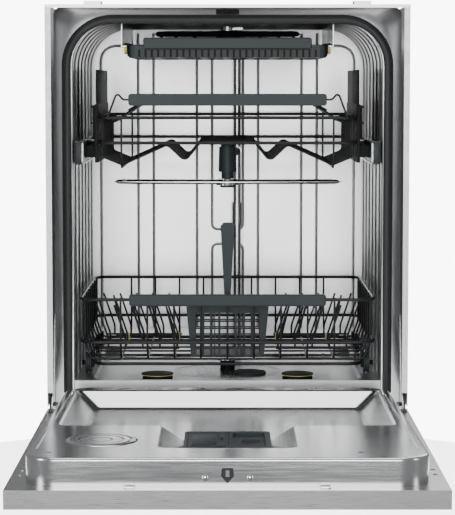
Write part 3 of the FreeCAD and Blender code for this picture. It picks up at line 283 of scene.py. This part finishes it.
bm = bmesh.new()
front = wrap_low.y + 0.0002
back = wrap_high.y
pitch = (back - front - 0.060) / (bead_count - 1)
hoops = [arch(bm, wrap_high.x - 0.0002, wrap_low.z, wrap_high.z - 0.0002, flange_corner, front),
         arch(bm, tub_half + 0.002, wrap_low.z, tub_top + 0.002, tub_corner + 0.002, front),
         arch(bm, tub_half, wrap_low.z, tub_top, tub_corner, front + 0.002)]
plain_hoops = len(hoops)
bead_section = ((0.0, 0.0), (0.18, 0.55), (0.5, 1.0), (0.82, 0.55), (1.0, 0.0))
for number in range(bead_count):
    bead_front = front + 0.034 + number * pitch
    for along, rise in bead_section:
        inward = bead_height * rise
        hoops.append(arch(bm, tub_half - inward, wrap_low.z, tub_top - inward, tub_corner - inward,
                          bead_front + bead_width * along))
hoops.append(arch(bm, tub_half, wrap_low.z, tub_top, tub_corner, back - 0.0002))
for number, (first, second) in enumerate(zip(hoops, hoops[1:])):
    strip = bmesh.ops.bridge_loops(bm, edges=first + second)["faces"]
    from_bead = number - plain_hoops
    on_bead = from_bead >= 0 and from_bead % len(bead_section) < len(bead_section) - 1
    # Faces on the beads take the second finish, the painted shade.
    for face in strip:
        face.material_index = int(on_bead)
bmesh.ops.recalc_face_normals(bm, faces=bm.faces)
tub = new_piece("tub_sheet", bm)
thickness = tub.modifiers.new("sheet", "SOLIDIFY")
thickness.thickness = 0.0012
thickness.offset = -1.0
placed(tub, tub_steel, "tub_wrap")
tub.data.materials.append(bead_painted_shade)

# ---- Back wall ----------------------------------------------------------------------------------
# A flat stainless sheet welded into the wrap. Pressed beads stiffen it: one round its edge, four
# upright, and two long bends that meet at a plain pad in the middle.
wall_steel = worked_surface("wall_steel", (0.80, 0.805, 0.81), (0.76, 0.765, 0.77), 1.0, 0.34, 0.03,
                            (1, 1, 0.1), 700, 0.015)
back_low, back_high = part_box("tub_back")
wall_y = back_high.y - 0.002
bead_radius = 0.0031


def bent_rod(bm, points, radius, bend, sides=8):
    """A round bar through the points: straight runs, and a turn of one radius at each corner."""
    points = [Vector(point) for point in points]
    way = (points[1] - points[0]).normalized()
    start = Matrix.Translation(points[0]) @ way.to_track_quat("Z", "Y").to_matrix().to_4x4()
    ring = bmesh.ops.create_circle(bm, cap_ends=True, segments=sides, radius=radius, matrix=start)["verts"]
    end = list({face for vert in ring for face in vert.link_faces})[0]
    here = points[0]
    for corner, after in zip(points[1:], points[2:] + [None]):
        turn = way.angle(after - corner) if after else 0.0
        taken = bend * math.tan(turn / 2)
        drawn = bmesh.ops.extrude_face_region(bm, geom=[end])["geom"]
        end = [item for item in drawn if isinstance(item, bmesh.types.BMFace)][0]
        bmesh.ops.translate(bm, vec=corner - way * taken - here, verts=end.verts)
        here = corner - way * taken
        if turn > 0.01:
            axis = way.cross(after - corner).normalized()
            turned = bmesh.ops.spin(bm, geom=[end], cent=here + axis.cross(way) * bend, axis=axis, angle=turn,
                                    steps=max(2, round(turn / 0.35)))["geom_last"]
            bmesh.ops.delete(bm, geom=[end], context="FACES_ONLY")
            end = [item for item in turned if isinstance(item, bmesh.types.BMFace)][0]
            way = (after - corner).normalized()
            here = corner + way * taken


def points_of(made):
    """The vertices among the items that an operator made."""
    return [item for item in made if isinstance(item, bmesh.types.BMVert)]


bm = bmesh.new()
sheet = arch(bm, back_high.x - 0.0002, back_low.z, back_high.z - 0.0002, tub_corner, wall_y)
bmesh.ops.contextual_create(bm, geom=sheet)
solid = bmesh.ops.extrude_face_region(bm, geom=bm.faces[:])["geom"]
bmesh.ops.translate(bm, vec=(0, 0.0018, 0), verts=points_of(solid))
flat_faces = set(bm.faces)
foot_z = back_low.z + 0.070
top_z = back_high.z - 0.008
for x in (-0.168, -0.139, -0.0575, 0.0575, 0.139, 0.168):
    bent_rod(bm, [(x, wall_y + 0.001, foot_z), (x, wall_y + 0.001, top_z)], bead_radius, 0.01)
frame_x = 0.238
frame_z = back_high.z - 0.031
bent_rod(bm, [(-frame_x, wall_y + 0.001, foot_z), (-frame_x, wall_y + 0.001, frame_z),
              (frame_x, wall_y + 0.001, frame_z), (frame_x, wall_y + 0.001, foot_z)], bead_radius, 0.028)
for meeting_z, far_z in ((0.410, top_z), (0.382, foot_z)):
    bent_rod(bm, [(-0.029, wall_y + 0.001, far_z), (-0.029, wall_y + 0.001, meeting_z),
                  (0.029, wall_y + 0.001, meeting_z), (0.029, wall_y + 0.001, far_z)], bead_radius, 0.010)
# The bead rods take the second finish: the same steel painted darker, as shade and reflection.
for face in bm.faces:
    face.material_index = 0 if face in flat_faces else 1
bmesh.ops.recalc_face_normals(bm, faces=bm.faces)
beaded_wall = placed(new_piece("beaded_wall", bm), wall_steel, "tub_back")
beaded_wall.data.materials.append(bead_painted_shade)

# ---- Floor of the tub ---------------------------------------------------------------------------
# Pressed from the same bright sheet, with a level ledge each side for the wheels and a sunk middle
# that drains to the sump.
dress(tub_steel, "tub_floor")

# ---- Door seal and striker ----------------------------------------------------------------------
# An extruded rubber profile is pushed into a channel round the opening, with a soft bulb towards
# the door. The latch's hook stands over its middle on a black moulded plate.
seal_rubber = worked_surface("seal_rubber", (0.022, 0.023, 0.025), (0.014, 0.015, 0.016), 0, 0.50, 0.06,
                             (1, 1, 1), 500, 0.25, shine=0.35)
# Besides the black mouldings, this finish is painted shade in the inner door's pressed grooves.
black_moulding_and_groove_shade = worked_surface("black_moulding_and_groove_shade", (0.009, 0.010, 0.011), (0.006, 0.0065, 0.007), 0, 0.55,
                                0.06, (1, 1, 1), 1500, 0.20, shine=0.15)
seal_low, seal_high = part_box("door_gasket")
bm = bmesh.new()
seal_corner = 0.069
seal_band = 0.015
seal_deep = seal_high.y - seal_low.y
seal_section = ((0.0, 0.0), (0.0, 0.55), (0.12, 0.85), (0.34, 1.0), (0.6, 0.95), (0.8, 0.70), (0.9, 0.45),
                (1.0, 0.40), (1.0, 0.0))
rings = []
for outward, forward in seal_section:
    spread = seal_band * outward
    rings.append(arch(bm, seal_high.x - seal_band + spread, seal_low.z, seal_high.z - seal_band + spread,
                      seal_corner + spread, seal_high.y - seal_deep * forward))
for first, second in zip(rings, rings[1:] + rings[:1]):
    bmesh.ops.bridge_loops(bm, edges=first + second)
bmesh.ops.holes_fill(bm, edges=[edge for edge in bm.edges if edge.is_boundary], sides=0)
bmesh.ops.recalc_face_normals(bm, faces=bm.faces)
placed(new_piece("seal_profile", bm), seal_rubber, "door_gasket")
rounded_off("latch_striker", "striker", 0.0008, black_moulding_and_groove_shade)

# ---- Pumps, softener and sump -------------------------------------------------------------------
# Below the floor: a moulded sump with the circulation pump on its port, the small drain pump, the
# inlet valve with its hose tail, and the translucent softener tank.
tank_plastic = worked_surface("tank_plastic", (0.74, 0.74, 0.71), (0.68, 0.68, 0.65), 0, 0.40, 0.05,
                              (1, 1, 1), 500, 0.2)
motor_paint = worked_surface("motor_paint", (0.19, 0.20, 0.21), (0.14, 0.15, 0.16), 0.5, 0.42, 0.08,
                             (1, 1, 1), 300, 0.2)
rounded_off("sump_bowl", "sump", 0.0008, black_moulding_and_groove_shade)
rounded_off("wash_pump", "circulation_pump", 0.0015, motor_paint)
rounded_off("waste_pump", "drain_pump", 0.0012, motor_paint)
rounded_off("softener_tank", "water_softener", 0.0012, tank_plastic)
rounded_off("water_valve", "inlet_valve", 0.0012, tank_plastic)

# ---- Filter and floor caps ----------------------------------------------------------------------
# A fine stainless sieve with punched holes lies round the arm's tower, with a lift-out cup in it.
# The two reservoir caps are black with an olive grip ring.
sieve_steel = worked_surface("sieve_steel", (0.62, 0.63, 0.64), (0.50, 0.51, 0.52), 1.0, 0.30, 0.06,
                             (1, 1, 1), 300, 0.1)
tree = sieve_steel.node_tree
place = tree.nodes.new("ShaderNodeTexCoord")
holes = tree.nodes.new("ShaderNodeTexVoronoi")
holes.inputs["Scale"].default_value = 420.0
holes.inputs["Randomness"].default_value = 0.0
edge = tree.nodes.new("ShaderNodeMath")
edge.operation = "GREATER_THAN"
edge.inputs[1].default_value = 0.33
tree.links.new(place.outputs["Object"], holes.inputs["Vector"])
tree.links.new(holes.outputs["Distance"], edge.inputs[0])
dark_hole = tree.nodes.new("ShaderNodeMix")
dark_hole.data_type = "RGBA"
dark_hole.inputs["A"].default_value = (0.01, 0.01, 0.01, 1)
shader = tree.nodes["Principled BSDF"]
tree.links.new(shader.inputs["Base Color"].links[0].from_socket, dark_hole.inputs["B"])
tree.links.new(edge.outputs[0], dark_hole.inputs["Factor"])
tree.links.new(dark_hole.outputs["Result"], shader.inputs["Base Color"])
dress(sieve_steel, "filter_plate")
slate = worked_surface("slate_moulding", (0.028, 0.036, 0.039), (0.022, 0.029, 0.032), 0, 0.46, 0.05,
                       (1, 1, 1), 1500, 0.20, shine=0.25)
olive = worked_surface("olive_moulding", (0.47, 0.43, 0.11), (0.40, 0.36, 0.08), 0, 0.36, 0.05,
                       (1, 1, 1), 900, 0.2)
rounded_off("filter_insert", "filter_cup", 0.0006, slate)
rounded_off("reservoir_caps", "floor_caps", 0.0008, black_moulding_and_groove_shade)
cap_low, cap_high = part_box("floor_caps")
cap_radius = 0.0275
cap_y = (cap_low.y + cap_high.y) / 2
upper_ring = (0.0272, cap_high.z - 0.0030, cap_high.z - 0.0004)
lower_ring = (0.0262, cap_low.z + 0.0006, cap_low.z + 0.0030)
bm = bmesh.new()
for side in (-1, 1):
    for radius, low, high in (upper_ring, lower_ring):
        seat = Matrix.Translation((side * (cap_high.x - cap_radius), cap_y, (low + high) / 2))
        bmesh.ops.create_cone(bm, cap_ends=True, segments=48, radius1=radius, radius2=radius - 0.0008,
                              depth=high - low, matrix=seat)
placed(new_piece("cap_rings", bm), olive, "floor_caps")

# ---- Spray arms and their feed ------------------------------------------------------------------
# Each steel arm is two pressed shells rolled together along their edges: broad at the hub, narrow
# at the tips, crowned on top, with small raised nozzles. The top one is moulded.
arm_steel = worked_surface("arm_steel", (0.72, 0.725, 0.73), (0.62, 0.625, 0.63), 1.0, 0.20, 0.05,
                           (0.03, 1, 1), 700, 0.06)
drawn_steel = worked_surface("drawn_steel", (0.62, 0.625, 0.63), (0.54, 0.545, 0.55), 1.0, 0.24, 0.06,
                             (1, 1, 0.03), 600, 0.06)


def pressed_arm(name, node, finish, nozzle_up):
    """Two crowned shells meeting at a thin rolled edge, with nozzles along one face."""
    low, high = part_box(node)
    centre = (low + high) / 2
    half = (high.x - low.x) / 2
    middle_z = centre.z - (0.0003 if nozzle_up else -0.0003)
    crown = (high.z - low.z) / 2 - 0.0016
    crown_steps = (((0.985, 0.93, 1), 0.10), ((0.985, 0.86, 1), 0.55), ((0.97, 0.75, 1), 0.25),
                   ((0.9, 0.6, 1), 0.10))
    nozzle_foot, nozzle_top = (0.0036, 0.0022) if nozzle_up else (0.0022, 0.0036)
    bm = bmesh.new()
    bmesh.ops.create_circle(bm, cap_ends=True, segments=72, radius=1.0)
    for vert in bm.verts:
        narrowing = (1 - abs(vert.co.x)) ** 1.3
        vert.co.y *= 0.0115 + 0.0120 * narrowing
        vert.co.x *= half - 0.0002
    rolled = bmesh.ops.extrude_face_region(bm, geom=bm.faces[:])["geom"]
    bmesh.ops.translate(bm, vec=(0, 0, 0.0010), verts=points_of(rolled))
    bmesh.ops.recalc_face_normals(bm, faces=bm.faces)
    for sign in (1, -1):
        cap = max(bm.faces, key=lambda face: (len(face.verts), face.calc_center_median().z * sign))
        for shrink, rise in crown_steps:
            raised = bmesh.ops.extrude_discrete_faces(bm, faces=[cap])["faces"]
            cap = raised[0]
            bmesh.ops.scale(bm, vec=shrink, verts=cap.verts)
            bmesh.ops.translate(bm, vec=(0, 0, sign * crown * rise), verts=cap.verts)
    bmesh.ops.create_cone(bm, cap_ends=True, segments=48, radius1=0.021, radius2=0.0185,
                          depth=high.z - low.z - 0.0006)
    for along in (-0.90, -0.70, -0.45, 0.45, 0.70, 0.90):
        seat = (along * half, math.copysign(0.004, along), crown if nozzle_up else -crown)
        bmesh.ops.create_cone(bm, cap_ends=True, segments=16, radius1=nozzle_foot, radius2=nozzle_top,
                              depth=0.0022, matrix=Matrix.Translation(seat))
    bmesh.ops.translate(bm, vec=(centre.x, centre.y, middle_z), verts=bm.verts)
    return placed(new_piece(name, bm), finish, node)


pressed_arm("lower_arm_shells", "lower_spray_arm", arm_steel, True)
pressed_arm("middle_arm_shells", "upper_spray_arm", arm_steel, True)
pressed_arm("top_arm_shells", "top_spray_arm", black_moulding_and_groove_shade, False)
rounded_off("feed_hub", "spray_hub", 0.0010, slate)
dress(drawn_steel, "riser_pipe")

# ---- Rails --------------------------------------------------------------------------------------
# Roll-formed stainless channels screwed to the tub's sides carry the upper basket and the tray.
# Each basket channel ends in a moulded stop with a slate inlay.
rounded_off("wall_rails", "slide_rails", 0.0006, drawn_steel)
rounded_off("rail_stops", "rail_end_caps", 0.0007, slate)
stop_low, stop_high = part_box("rail_end_caps")


def block(bm, middle, size):
    """A moulded bar of one size about its middle."""
    turned = Matrix.Translation(middle) @ Matrix.Diagonal((*size, 1))
    return bmesh.ops.create_cube(bm, size=1.0, matrix=turned)["verts"]


def soften(bm, edges, width, segments=2):
    """Rounds off the given edges."""
    bmesh.ops.bevel(bm, geom=edges, offset=width, offset_type="OFFSET", segments=segments, profile=0.5,
                    affect="EDGES", clamp_overlap=True, material=-1)


bm = bmesh.new()
for side in (-1, 1):
    middle = (side * (stop_high.x - 0.0062), stop_low.y + 0.0045, (stop_low.z + stop_high.z) / 2)
    block(bm, middle, (0.0095, 0.0050, 0.0332))
soften(bm, bm.edges[:], 0.0008, 3)
inlays = new_piece("stop_inlays", bm)
dress(slate, inlays)
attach(inlays, "carcass")
rounded_off("basket_runners", "slide_runners", 0.0006, drawn_steel)

# ---- Door skin ----------------------------------------------------------------------------------
# The outer door is a folded tray of stainless steel, brushed across its width, with small screws
# along its sides and two clips that hold the inner door at its upper edge.
door_steel = worked_surface("door_steel", (0.50, 0.50, 0.502), (0.43, 0.43, 0.435), 1.0, 0.30, 0.04,
                            (0.012, 1, 1), 2600, 0.06, broad=0.15)
bright_screw = worked_surface("screw_chrome", (0.78, 0.785, 0.79), (0.70, 0.705, 0.71), 1.0, 0.14, 0.04,
                              (1, 1, 1), 900, 0.1)
rounded_off("door_tray", "door_skin", 0.0011, door_steel, segments=3)
skin_low, skin_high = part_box("door_skin")
screw_height = 0.0014
screw_x = 0.2865
clip_x = 0.131
clip_inset = 0.014
clip_height = 0.0016
bm = bmesh.new()
for side in (-1, 1):
    for y in (-1.050, -1.015, -0.800, -0.620):
        seat = Matrix.Translation((side * screw_x, y, skin_high.z + screw_height / 2))
        bmesh.ops.create_cone(bm, cap_ends=True, segments=24, radius1=0.0036, radius2=0.0024,
                              depth=screw_height, matrix=seat)
    clip = block(bm, (side * clip_x, skin_low.y + clip_inset, skin_high.z + clip_height / 2),
                 (0.014, 0.005, clip_height))
    soften(bm, list({edge for vert in clip for edge in vert.link_edges}), 0.0005)
screws = new_piece("skin_screws", bm)
dress(bright_screw, screws)
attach(screws, "door")

# ---- Inner door ---------------------------------------------------------------------------------
# One deep-drawn stainless sheet: a raised slab with soft edges that closes into the seal, a sloped
# pan that leads the water back, and a notch in it for the dispenser. A groove runs down each side.
liner_steel = worked_surface("liner_steel", (0.66, 0.665, 0.67), (0.57, 0.575, 0.58), 1.0, 0.20, 0.05,
                             (0.02, 1, 1), 900, 0.05)
liner_low, liner_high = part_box("door_liner")
hinge_y = -0.492
rim_z = liner_high.z
pan_z = rim_z - 0.027
far_y = hinge_y - 0.041
near_y = hinge_y - 0.380
notch_y = hinge_y - 0.563


def outline(bm, places, z, corner, segments=6):
    """A closed loop of edges through the places at one height, with its corners rounded."""
    before = set(bm.edges)
    corners = [bm.verts.new((x, y, z)) for x, y in places]
    for pair in zip(corners, corners[1:] + corners[:1]):
        bm.edges.new(pair)
    bmesh.ops.bevel(bm, geom=corners, offset=corner, offset_type="OFFSET", segments=segments, profile=0.5,
                    affect="VERTICES", clamp_overlap=False, material=-1)
    return [edge for edge in bm.edges if edge not in before]


def pan_outline(lean):
    """The pan and its notch, drawn in from their upper edge by the lean of the walls."""
    wide = 0.246 - 0.032 * lean
    tight = 0.095 - 0.032 * lean
    back_y = far_y - 0.027 * lean
    step_y = near_y + 0.022 * lean
    end_y = notch_y + 0.022 * lean
    return [(-wide, back_y), (wide, back_y), (wide, step_y), (tight, step_y), (tight, end_y), (-tight, end_y),
            (-tight, step_y), (-wide, step_y)]


bm = bmesh.new()
taper = 0.012
slab = [(-liner_high.x, liner_low.y), (liner_high.x, liner_low.y), (liner_high.x - taper, liner_high.y),
        (-liner_high.x + taper, liner_high.y)]
foot = outline(bm, slab, liner_low.z, 0.045, 10)
walls = bmesh.ops.extrude_edge_only(bm, edges=foot)["geom"]
bmesh.ops.translate(bm, vec=(0, 0, rim_z - liner_low.z), verts=points_of(walls))
rim = [item for item in walls if isinstance(item, bmesh.types.BMEdge)]
pan_rim = outline(bm, pan_outline(0), rim_z, 0.012)
pan_foot = outline(bm, pan_outline(1), pan_z, 0.010)
bmesh.ops.bridge_loops(bm, edges=pan_rim + pan_foot)
grooves = []
mark_y = -1.091
for mark_x in (-0.242, 0.181):
    before = set(bm.edges)
    bmesh.ops.create_circle(bm, segments=3, radius=0.0058, matrix=Matrix.Translation((mark_x, mark_y, rim_z)))
    grooves.append([edge for edge in bm.edges if edge not in before])
groove_half = 0.0022
groove_near = -1.062
groove_far = -0.560
for side in (-1, 1):
    near_x = side * (liner_high.x - 0.0135)
    far_x = near_x - side * taper * 0.8
    grooves.append(outline(bm, [(near_x - groove_half, groove_near), (near_x + groove_half, groove_near),
                                (far_x + groove_half, groove_far), (far_x - groove_half, groove_far)],
                           rim_z, 0.0015, 3))
vent_low, vent_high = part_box("vent_cap")
vent_middle = (vent_low + vent_high) / 2
before = set(bm.edges)
vent_seat = Matrix.Translation((vent_middle.x, vent_middle.y, rim_z))
bmesh.ops.create_circle(bm, segments=72, radius=0.0515, matrix=vent_seat)
vent_rim = [edge for edge in bm.edges if edge not in before]
box_low, box_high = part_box("dispenser_body")
lap = 0.004
window = outline(bm, [(box_low.x + lap, box_low.y + lap), (box_high.x - lap, box_low.y + lap),
                      (box_high.x - lap, box_high.y - lap), (box_low.x + lap, box_high.y - lap)],
                 pan_z, 0.003, 3)
raised_area = rim + pan_rim + vent_rim + [edge for groove in grooves for edge in groove]
bmesh.ops.triangle_fill(bm, use_beauty=True, edges=raised_area)
bmesh.ops.triangle_fill(bm, use_beauty=True, edges=pan_foot + window)
groove_deep = 0.0024
vent_deep = 0.006
# The sunk faces of the side grooves take the second finish, the black moulding: painted shade in the pressed
# steel. The two triangle marks are sunk with them and painted black as well.
for loop in grooves:
    sunk = bmesh.ops.extrude_edge_only(bm, edges=loop)["geom"]
    bmesh.ops.translate(bm, vec=(0, 0, -groove_deep), verts=points_of(sunk))
    bmesh.ops.contextual_create(bm, geom=[item for item in sunk if isinstance(item, bmesh.types.BMEdge)])
    for face in {face for vert in points_of(sunk) for face in vert.link_faces}:
        face.material_index = 1
sunk = bmesh.ops.extrude_edge_only(bm, edges=vent_rim)["geom"]
bmesh.ops.translate(bm, vec=(0, 0, -vent_deep), verts=points_of(sunk))
bmesh.ops.recalc_face_normals(bm, faces=bm.faces)
soft_edges = [edge for edge in rim + pan_rim + pan_foot if edge.is_valid]
bmesh.ops.bevel(bm, geom=soft_edges, offset=0.0040, offset_type="OFFSET", segments=4, profile=0.5,
                affect="EDGES", clamp_overlap=False, material=-1)
inner_door = new_piece("inner_door", bm)
thickness = inner_door.modifiers.new("sheet", "SOLIDIFY")
thickness.thickness = 0.0009
thickness.offset = -1.0
even = inner_door.modifiers.new("even_shading", "WEIGHTED_NORMAL")
even.keep_sharp = True
placed(inner_door, liner_steel, "door_liner")
# The second finish is black: painted shade in the grooves, and black in the triangle marks.
inner_door.data.materials.append(black_moulding_and_groove_shade)

# ---- Door latch ---------------------------------------------------------------------------------
# A dark moulded latch shield in the middle of the inner door's edge, held by two bright cross-head
# screws. Their edges are slightly rounded.
rounded_off("latch_shield", "door_latch", 0.0007, slate)
rounded_off("latch_screw_heads", "latch_screws", 0.0003, bright_screw)

# ---- Dispenser ----------------------------------------------------------------------------------
# The detergent and rinse-aid box is a dark moulding with a hinged lid over the cup and a round cap
# beside it. Ribs for grip and a panel are moulded into the lid.
rounded_off("dose_box", "dispenser_body", 0.0009, slate)
rounded_off("dose_lid", "detergent_lid", 0.0007, slate, segments=3)
rounded_off("rinse_aid_cap", "rinse_cap", 0.0006, slate, segments=3)
lid_face_z = 0.1780
rib_width = 0.0016
bm = bmesh.new()
block(bm, (-0.033, -0.947, lid_face_z), (0.034, 0.084, rib_width))
for y in (-0.994, -0.9985, -1.003):
    block(bm, (-0.027, y, lid_face_z), (0.050, rib_width, rib_width))
soften(bm, bm.edges[:], 0.0004)
lid_ribs = new_piece("lid_grip_ribs", bm)
dress(slate, lid_ribs)
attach(lid_ribs, "detergent_lid")

# ---- Drying vent --------------------------------------------------------------------------------
# A pressed stainless disc closes the drying vent in the inner door. Rings are embossed in it, and it
# clips to a flange under the sheet.
bm = bmesh.new()
profile = [(0, 0.1883), (0.0135, 0.1883), (0.0142, 0.1874), (0.0160, 0.1874), (0.0167, 0.1883),
           (0.0295, 0.1884), (0.0302, 0.1873), (0.0322, 0.1873), (0.0329, 0.1886), (0.0400, 0.1886),
           (0.0409, 0.1871), (0.0436, 0.1871), (0.0445, 0.1884), (0.0486, 0.1881), (0.0500, 0.1869),
           (0.0500, 0.1850), (0.0470, 0.1855), (0.0620, 0.1855), (0.0620, 0.1822), (0.0470, 0.1822),
           (0.0360, 0.1810), (0.0360, 0.1552), (0.0330, 0.1552), (0.0330, 0.1810), (0, 0.1810)]
ring = [bm.verts.new((vent_middle.x + radius, vent_middle.y, z)) for radius, z in profile]
wires = [bm.edges.new(pair) for pair in zip(ring, ring[1:])]
bmesh.ops.spin(bm, geom=wires, cent=(vent_middle.x, vent_middle.y, 0), axis=(0, 0, 1), angle=math.tau,
               steps=72, use_merge=True)
bmesh.ops.remove_doubles(bm, verts=bm.verts, dist=1e-5)
bmesh.ops.recalc_face_normals(bm, faces=bm.faces)
placed(new_piece("embossed_vent", bm), liner_steel, "vent_cap")

# ---- Controls -----------------------------------------------------------------------------------
# The electronics box lies inside the door. A glossy black window and two steel buttons sit in the
# door's outer face.
window_black = worked_surface("window_black", (0.012, 0.012, 0.013), (0.008, 0.008, 0.009), 0, 0.10, 0.03,
                              (1, 1, 1), 60, 0.02)
rounded_off("control_box", "control_board", 0.0010, black_moulding_and_groove_shade)
rounded_off("display_glass", "display_window", 0.0005, window_black)
rounded_off("power_key", "power_button", 0.0006, bright_screw, segments=3)
rounded_off("start_key", "start_button", 0.0006, bright_screw, segments=3)

# ---- Door hinges and springs --------------------------------------------------------------------
# Pressed steel brackets carry the door's arms at both sides, and a coiled tension spring on each side
# balances the door. Each is one round wire wound into a close coil between two end plugs.
rounded_off("hinge_plates", "hinge_brackets", 0.0006, drawn_steel)
rounded_off("door_arms", "hinge_arms", 0.0006, drawn_steel)
spring_wire = worked_surface("spring_wire", (0.50, 0.505, 0.51), (0.40, 0.405, 0.41), 1.0, 0.30, 0.06,
                             (1, 1, 1), 500, 0.1)
spring_low, spring_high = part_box("door_springs")
coil_radius = (spring_high.z - spring_low.z) / 2
coil_z = (spring_high.z + spring_low.z) / 2
wire = 0.0011
turns = 44
steps = turns * 18
plug = 0.0060
plug_radius = coil_radius - 0.0006
start_y = spring_low.y + 0.004
run = spring_high.y - spring_low.y - 0.008
lying = Matrix.Rotation(math.radians(90), 4, "X")
bm = bmesh.new()
for side in (-1, 1):
    coil_x = side * (spring_high.x - coil_radius)
    start = Matrix.Translation((coil_x + coil_radius - wire, start_y, coil_z))
    section = bmesh.ops.create_circle(bm, segments=8, radius=wire, matrix=start)
    loop = list({edge for vert in section["verts"] for edge in vert.link_edges})
    swept = bmesh.ops.spin(bm, geom=loop, cent=(coil_x, start_y, coil_z), axis=(0, 1, 0),
                           angle=math.tau * turns, steps=steps, dvec=(0, run / steps, 0))["geom_last"]
    for end in (loop, [item for item in swept if isinstance(item, bmesh.types.BMEdge)]):
        bmesh.ops.contextual_create(bm, geom=end)
    for y in (spring_low.y + plug / 2, spring_high.y - plug / 2):
        bmesh.ops.create_cone(bm, cap_ends=True, segments=24, radius1=plug_radius, radius2=plug_radius,
                              depth=plug, matrix=Matrix.Translation((coil_x, y, coil_z)) @ lying)
bmesh.ops.recalc_face_normals(bm, faces=bm.faces)
placed(new_piece("coiled_springs", bm), spring_wire, "door_springs")

# ---- Lower basket -------------------------------------------------------------------------------
# Round steel wire, welded and dipped in a near-black plastic coat. The plate tines lean outward, the
# two rear combs fold down, and olive clips hold them.
coated_wire = worked_surface("coated_wire", (0.010, 0.011, 0.012), (0.006, 0.007, 0.008), 0, 0.36, 0.05,
                             (1, 1, 1), 220, 0.06, shine=0.30)
dress(coated_wire, "lower_rack_frame", "lower_rack_tines", "fold_comb_right", "fold_comb_left")
rounded_off("comb_clips", "fold_clips", 0.0006, olive)
rounded_off("lower_grip", "lower_handle", 0.0030, slate, segments=4)
rounded_off("wheel_brackets", "wheel_carriers", 0.0008, black_moulding_and_groove_shade)

# ---- Basket wheels ------------------------------------------------------------------------------
# Four small moulded wheels turn on the carriers' axle pins. Their rims and hubs have rounded edges,
# as they come from the mould.
for name, node in (("front_rollers", "front_wheels"), ("rear_rollers", "rear_wheels")):
    rounded_off(name, node, 0.0007, slate, segments=3)

# ---- Cutlery basket -----------------------------------------------------------------------------
# One dark moulding with a grid of slots in its walls and floor. A T-shaped carrying fin stands up
# from its middle wall, wide at the top where the hand takes it.
rounded_off("cutlery_cage", "cutlery_basket", 0.0004, slate)
rounded_off("carrying_fin", "basket_handle", 0.0010, slate, segments=3)

# ---- Upper basket -------------------------------------------------------------------------------
# The same coated wire, with a moulded grip along the front. Ribbed black side plates hold it on the
# slides and set its height.
dress(coated_wire, "upper_rack_wires")
rounded_off("upper_grip", "upper_handle", 0.0030, slate, segments=4)
rounded_off("height_plates", "height_adjusters", 0.0008, black_moulding_and_groove_shade)
plate_low, plate_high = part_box("height_adjusters")
plate_y = (plate_low.y + plate_high.y) / 2
plate_long = plate_high.y - plate_low.y
rib_count = 22
rib_pitch = 0.0133
bm = bmesh.new()
for side in (-1, 1):
    for number in range(rib_count):
        rib_y = plate_low.y + 0.010 + number * rib_pitch
        block(bm, (side * 0.2265, rib_y, 0.6190), (0.0050, 0.0028, 0.0580))
    for z in (0.5925, 0.6180, 0.6455):
        block(bm, (side * 0.2275, plate_y, z), (0.0070, plate_long - 0.004, 0.0030))
    block(bm, (side * 0.2215, plate_y, 0.6775), (0.0030, plate_long - 0.008, 0.0610))
soften(bm, bm.edges[:], 0.0005)
ribs = new_piece("adjuster_ribs", bm)
dress(black_moulding_and_groove_shade, ribs)
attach(ribs, "upper_rack")

# ---- Cup shelves --------------------------------------------------------------------------------
# A black moulded flap on each side folds down over the cups. Three wire loops along its free edge
# hold the stems of glasses.
loop_wide = 0.044
loop_foot_z = 0.6395
loop_crest_z = 0.6590
for side, name, node in ((1, "right_cup_flap", "cup_shelf_right"), (-1, "left_cup_flap", "cup_shelf_left")):
    rounded_off(name, node, 0.0008, black_moulding_and_groove_shade)
    inner_x = side * 0.1365
    outer_x = side * 0.1700
    bm = bmesh.new()
    for start in (0.020, 0.088, 0.150):
        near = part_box(node)[0].y + start
        far = near + loop_wide
        bent_rod(bm, [(outer_x, near, loop_foot_z), (inner_x, near, loop_crest_z),
                      (inner_x, far, loop_crest_z), (outer_x, far, loop_foot_z)], 0.0015, 0.010)
    loops = new_piece(name.replace("flap", "loops"), bm)
    dress(coated_wire, loops)
    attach(loops, node)

# ---- Cutlery tray -------------------------------------------------------------------------------
# A shallow moulded tray hangs under the ceiling on two side bars. Its floor is a lattice with fine
# ribs across each slot, and olive rollers guide it in the ceiling channels.
rounded_off("lattice_tray", "cutlery_tray", 0.0005, slate)
rounded_off("tray_grip", "tray_handle", 0.0022, slate, segments=4)
rounded_off("tray_bars", "tray_runners", 0.0005, black_moulding_and_groove_shade)
tray_low, tray_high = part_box("cutlery_tray")
tray_y = (tray_low.y + tray_high.y) / 2
floor_rib_pitch = 0.019
front_rib_pitch = 0.0105
bm = bmesh.new()
for number in range(17):
    block(bm, (-0.152 + number * floor_rib_pitch, tray_y, tray_low.z + 0.0009), (0.0018, 0.360, 0.0016))
for number in range(29):
    middle = (-0.147 + number * front_rib_pitch, tray_low.y - 0.0008, tray_low.z + 0.0070)
    block(bm, middle, (0.0030, 0.0024, 0.0120))
soften(bm, bm.edges[:], 0.0004, 1)
lattice = new_piece("tray_lattice", bm)
dress(black_moulding_and_groove_shade, lattice)
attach(lattice, "cutlery_tray")
roller_radius = 0.0085
bm = bmesh.new()
for side in (-1, 1):
    for y in (tray_low.y + 0.010, tray_low.y + 0.034):
        axle = Matrix.Translation((side * 0.1702, y, 0.7425)) @ Matrix.Rotation(math.radians(90), 4, "Y")
        bmesh.ops.create_cone(bm, cap_ends=True, segments=32, radius1=roller_radius, radius2=roller_radius,
                              depth=0.0045, matrix=axle)
soften(bm, [edge for edge in bm.edges if edge.calc_face_angle() > math.radians(45)], 0.0006)
rollers = new_piece("tray_rollers", bm)
dress(olive, rollers)
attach(rollers, "cutlery_tray")
